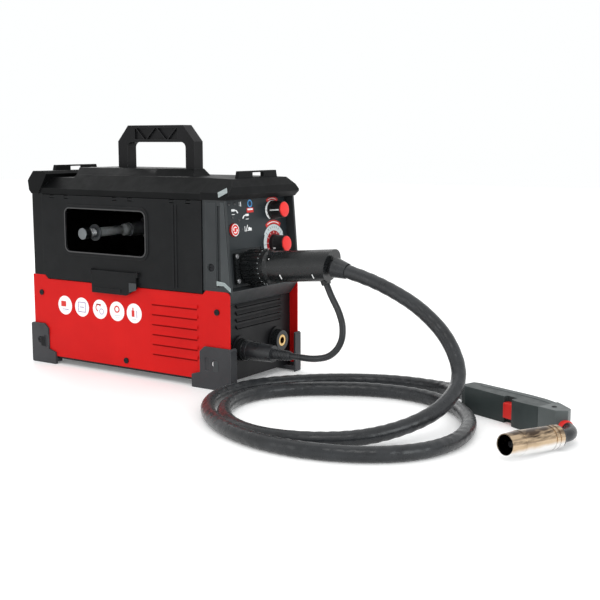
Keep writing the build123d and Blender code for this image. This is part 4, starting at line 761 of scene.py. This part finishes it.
def side_symbols():
    """Five round badges with simple shapes: roll, screen, fan, clock and gas bottle."""
    z = BADGE_Z
    side_print("badge_discs", [circle(y, z, BADGE_RADIUS, 48) for y in BADGES_Y], "white_print")
    roll, screen, fan, clock, bottle = BADGES_Y
    red = [rounded(roll - 2, roll + 8, z - 2, z + 6, 0.8), arc_band(fan + 3, z + 2, 4.0, 5.6, -80, 150, 16),
           bar(fan - 2, z + 7, fan + 7, z + 7, 1.4), bar(bottle + 2, z - 5, bottle + 2, z + 4, 5.0),
           bar(bottle + 2, z + 4, bottle + 2, z + 8, 2.0)]
    red += ring(clock, z + 3, 3.2, 5.2)
    side_print("badge_red", red, "red_print", 0.24)
    frame_lines = [bar(screen - 7, z - 7, screen - 7, z + 7, 0.9), bar(screen + 7, z - 7, screen + 7, z + 7, 0.9),
                   bar(screen - 7, z - 7, screen + 7, z - 7, 0.9), bar(screen - 7, z + 7, screen + 7, z + 7, 0.9),
                   bar(screen - 4, z, screen + 4, z, 1.0), bar(roll - 7, z - 6, roll + 5, z - 6, 0.9),
                   bar(bottle - 5, z - 6, bottle - 5, z + 4, 0.9)]
    frame_lines += ring(fan - 3, z - 3, 3.4, 4.2)
    side_print("badge_purple", frame_lines, "purple_print", 0.24)
    grey = [bar(clock - 5, z - 6, clock + 5, z - 6, 0.9), bar(clock - 3, z - 8.4, clock + 3, z - 8.4, 0.7),
            bar(bottle - 4, z - 8.6, bottle + 5, z - 8.6, 0.7), bar(roll - 4, z - 8.4, roll + 4, z - 8.4, 0.7),
            bar(fan - 8, z + 1, fan - 8, z + 6, 0.8)]
    side_print("badge_grey", grey, "grey_print", 0.24)


def cheek_details():
    """Raised pad, cheek face and a pale corner strip on the front moulding's left side; the corner strip is a
    painted highlight on a chamfer.
    """
    screw_y, screw_z, notch = -155.0, 165.0, 6.2
    upper = [(screw_y + notch * math.cos(a), screw_z + notch * math.sin(a))
             for a in (math.pi * i / 12 for i in range(13))]
    lower = [(y, 2 * screw_z - z) for y, z in upper]
    pads = [[(-146.6, screw_z + 0.1), (-146.6, 250.6), (-163.6, 250.6), (-163.6, screw_z + 0.1)] + upper[::-1],
            [(-163.6, screw_z - 0.1), (-163.6, 138.8), (-146.6, 138.8), (-146.6, screw_z - 0.1)] + lower]
    side_print("pillar_pad", pads, "bezel_plastic", 0.7)
    front = [(-171.4, 251.5), (-171.4, 141.5), (-185.9, 141.5), (-176.6, 251.5)]
    side_print("cheek_face", [front], "cheek_plastic", 0.7, bevel=0.4)
    # Painted highlight on the lower chamfer.
    corner = [(-164.3, 147.6), (-164.3, 141.6), (-176.0, 141.8), (-186.6, 134.4), (-187.4, 134.4), (-187.0, 139.6),
              (-177.5, 146.4)]
    side_print("corner_painted_highlight", [corner], "painted_highlight_plastic", 1.1, bevel=0.3)


def small_pads():
    """Textured pad on the latch, recess plates on the feet and a pale strip on the hood's corner, which is a
    painted highlight.
    """
    pad = [(-14.5, 134.6), (-27.6, 134.8), (-27.6, 125.2), (-14.5, 121.6)]
    side_print("latch_pad", [pad], "cheek_plastic", 0.4, LATCH_X, "latch")
    side_print("front_foot_plate", [rounded(-166.8, -159.2, 25.5, 40.0, 0.8)], "cheek_plastic", 0.4, FOOT_X)
    side_print("rear_foot_plate", [rounded(162.6, 170.0, 25.5, 40.0, 0.8)], "black_plastic", 0.4, FOOT_X)
    # Painted highlight on the hood's corner chamfer.
    corners = [(-82.5, -168.7, 263.8), (-82.5, -169.6, 257.6), (-82.5, -183.6, 264.0), (-81.4, -183.6, 265.0),
               (-75.9, -178.6, 269.9)]
    bm = bmesh.new()
    low = [bm.verts.new(Vector(c) * MM) for c in corners]
    high = [bm.verts.new((Vector(c) + Vector((-0.6, -0.2, 0.5))) * MM) for c in corners]
    bm.faces.new(low)
    bm.faces.new(high[::-1])
    for i in range(len(corners)):
        j = (i + 1) % len(corners)
        bm.faces.new((low[i], high[i], high[j], low[j]))
    from_bmesh("hood_painted_highlight", bm, "painted_highlight_plastic")


def window_rim():
    """Glossy bead round the window opening."""
    outer = rounded(-43.6, 112.6, 170.9, 236.1, 10.0, 8)
    inner = rounded(-41.8, 110.8, 172.7, 234.3, 8.6, 8)
    bm = bmesh.new()
    rings = [[bm.verts.new(Vector((x, y, z)) * MM) for y, z in loop]
             for loop, x in ((outer, -83.9), (outer, -84.6), (inner, -84.6), (inner, -81.4))]
    for first, second in zip(rings, rings[1:]):
        for i in range(len(first)):
            j = (i + 1) % len(first)
            bm.faces.new((first[i], first[j], second[j], second[i]))
    from_bmesh("window_bead", bm, "gloss_rim", "door", bevel=0.25)


def louvre_shades():
    """Painted shadow: darker red under the lip of each pressed louvre on the left cover."""
    lips = [LOUVRE_BOTTOM + LOUVRE_PITCH * row for row in range(LOUVRE_ROWS)]
    shades = [rounded(-129.5, -49.5, z - 2.6, z - 0.8, 0.6) for z in lips]
    side_print("louvre_shade", shades, "red_shade", 0.12, SIDE_X + 0.05)


def inner_pieces():
    """Sleeve on the spool spindle, near white as a painted highlight, and a dark sheet behind the front louvres as
    painted shade.
    """
    # The sleeve's near white is a painted highlight.
    lathe("spindle_sleeve", [(0, 0), (0, 6.6), (0.8, 7.0), (50.5, 7.0), (51.5, 6.4), (51.5, 0)],
          (-44, SPINDLE_Y, SPINDLE_Z), (1, 0, 0), "spindle_painted_shine", "spindle", 40)
    # Painted shade: a dark sheet behind the front louvres.
    prism("front_painted_shade_sheet", [rounded(-70, 70, 68, 126, 2)], (0, -156.4, 0), (1, 0, 0), (0, 0, 1), 0.6,
          "painted_shade_dark")


def brighten_foot_screw():
    """The front left foot's screw keeps its bright zinc."""
    obj = SHELLS["case_screws"]
    obj.data.materials.append(MAT["screw_steel"])
    for face in obj.data.polygons:
        if face.center.x < -0.08 and face.center.y < -0.1 and face.center.z < 0.06:
            face.material_index = 1


side_symbols()
cheek_details()
louvre_shades()
small_pads()
window_rim()
inner_pieces()
brighten_foot_screw()


# ---------------------------------------------------------------- torch connector and torch

NUT_GLINTS_OUT = 34.0
NUT_GLINTS_RADIUS = 24.3
HOUSING_RADIUS = 20.5
MARKS_AT = 217
TORCH_REAR = Vector((10.0, -495.0, 0.0))
TORCH_HEADING = math.radians(250.7)
TORCH_FORWARD = Vector((math.cos(TORCH_HEADING), math.sin(TORCH_HEADING), 0))
TORCH_SIDE = Vector((TORCH_FORWARD.y, -TORCH_FORWARD.x, 0))
TORCH_TOP = 32.4
NECK_CORNER = Vector((-63.6, -649.4, 12.2))


def euro_spot(out, degrees, radius):
    """A point round the torch connector's axis, with its outward direction."""
    a = math.radians(degrees)
    radial = Vector((1, 0, 0)) * math.cos(a) + PANEL_UP * math.sin(a)
    return panel_spot(*EURO_AT, out) + radial * radius, radial


def connector_details():
    """Pale dots round the nut as painted highlights, a locking screw with a white dot of painted highlight, and two
    white marks on the housing.
    """
    # Painted highlights on the ends of the nut's ridges.
    for i in range(11):
        spot, radial = euro_spot(NUT_GLINTS_OUT, 98 + i * 16.36, NUT_GLINTS_RADIUS)
        lathe(f"nut_painted_glint_{i + 1}", [(0, 0.5), (0.35, 0.45), (0.45, 0)], spot, radial, "grey_print", "union_nut", 10)
    spot, radial = euro_spot(49, 146.5, HOUSING_RADIUS)
    lathe("lock_screw", [(0, 0), (0, 2.6), (0.5, 2.6), (0.6, 2.2), (0.6, 0)], spot, radial, "dark_screw_and_tip_shade",
          segments=24)
    # Painted highlight: a white dot on the screw.
    lathe("lock_screw_glint", [(0.5, 0), (0.5, 0.9), (0.8, 0.7), (0.85, 0)], spot, radial, "white_print",
          segments=12)
    for name, out, half_width, half_height in (("slot_mark", 65.5, 0.8, 3.8), ("end_mark", 116, 0.7, 3.4)):
        spot, radial = euro_spot(out, MARKS_AT, HOUSING_RADIUS + 0.05)
        prism(name, [rounded(-half_width, half_width, -half_height, half_height, 0.5)], spot, PANEL_NORMAL,
              radial.cross(PANEL_NORMAL), 0.5, "white_print")


def torch_spot(along, across, z):
    """A point on the torch in millimetres: along its handle, across it and up."""
    return TORCH_REAR + TORCH_FORWARD * along + TORCH_SIDE * across + Vector((0, 0, z))


def torch_plate(name, outlines, z, depth, mat, bevel=None):
    """Pieces lying on the torch's upper face; outlines are points along and across it."""
    turned = [[(a, -c) for a, c in outline] for outline in outlines]
    return prism(name, turned, torch_spot(0, 0, z), TORCH_FORWARD, Vector((0, 0, 1)).cross(TORCH_FORWARD), depth,
                 mat, "machine", bevel)


def torch_details():
    """Grip inlay, nose block with its screw hole as a dark disc of painted shade, red band on the neck, and grip
    ribs.
    """
    inlay = [(6, -10), (40, -12.2), (74, -13), (100, -11.5), (122, -6), (116, -1), (96, -5), (70, -6), (36, -5),
             (6, -4)]
    torch_plate("torch_inlay", [inlay], TORCH_TOP - 0.1, 0.5, "torch_inlay", 0.3)
    nose = [(118, -12.4), (126, -9.5), (148.4, 1.2), (152.4, 11.1), (143.2, 21.4), (118, 21.4)]
    torch_plate("torch_nose", [nose], 0.7, TORCH_TOP, "torch_socket", 0.8)
    # Painted shade: the screw hole is a dark disc.
    lathe("torch_nose_screw", [(0, 0), (0, 3.0), (0.4, 3.0), (0.5, 2.2), (0.15, 1.8), (0.15, 0)],
          torch_spot(131, 9, TORCH_TOP + 0.65), (0, 0, 1), "painted_shade_dark", segments=24)
    neck_start = torch_spot(118, 3, TORCH_TOP / 2)
    neck_way = (NECK_CORNER - neck_start).normalized()
    lathe("neck_band", [(0, 0), (0, 8.6), (5.5, 8.6), (6.5, 8.0), (6.5, 0)], neck_start + neck_way * 31.5,
          neck_way, "trigger_red", segments=40)
    for i in range(5):
        along = 22 + i * 3.2
        prism(f"grip_rib_{i + 1}", [rounded(-0.5, 0.5, 7, 25, 0.4)], torch_spot(along, 13.4, 0), TORCH_FORWARD,
              (0, 0, 1), -0.6, "torch_plastic")


connector_details()
torch_details()


# ---------------------------------------------------------------- floor

def make_floor():
    """Pale ground plane, lit a little by itself."""
    bm = bmesh.new()
    bmesh.ops.create_grid(bm, x_segments=1, y_segments=1, size=6)
    mesh = bpy.data.meshes.new("floor")
    bm.to_mesh(mesh)
    bm.free()
    floor = bpy.data.objects.new("floor", mesh)
    bpy.context.collection.objects.link(floor)
    m = Nodes("pale_floor", Specular_IOR_Level=0.1, Emission_Strength=0.14)
    m.shader.inputs["Emission Color"].default_value = (1, 1, 1, 1)
    m.color(m.blend(m.noise(3, 2, 0.5), (0.93, 0.93, 0.93), (0.95, 0.95, 0.95)))
    m.rough(m.ramp(m.noise(20), 0.3, 0.7, 0.5, 0.6))
    mesh.materials.append(m.done())


make_floor()
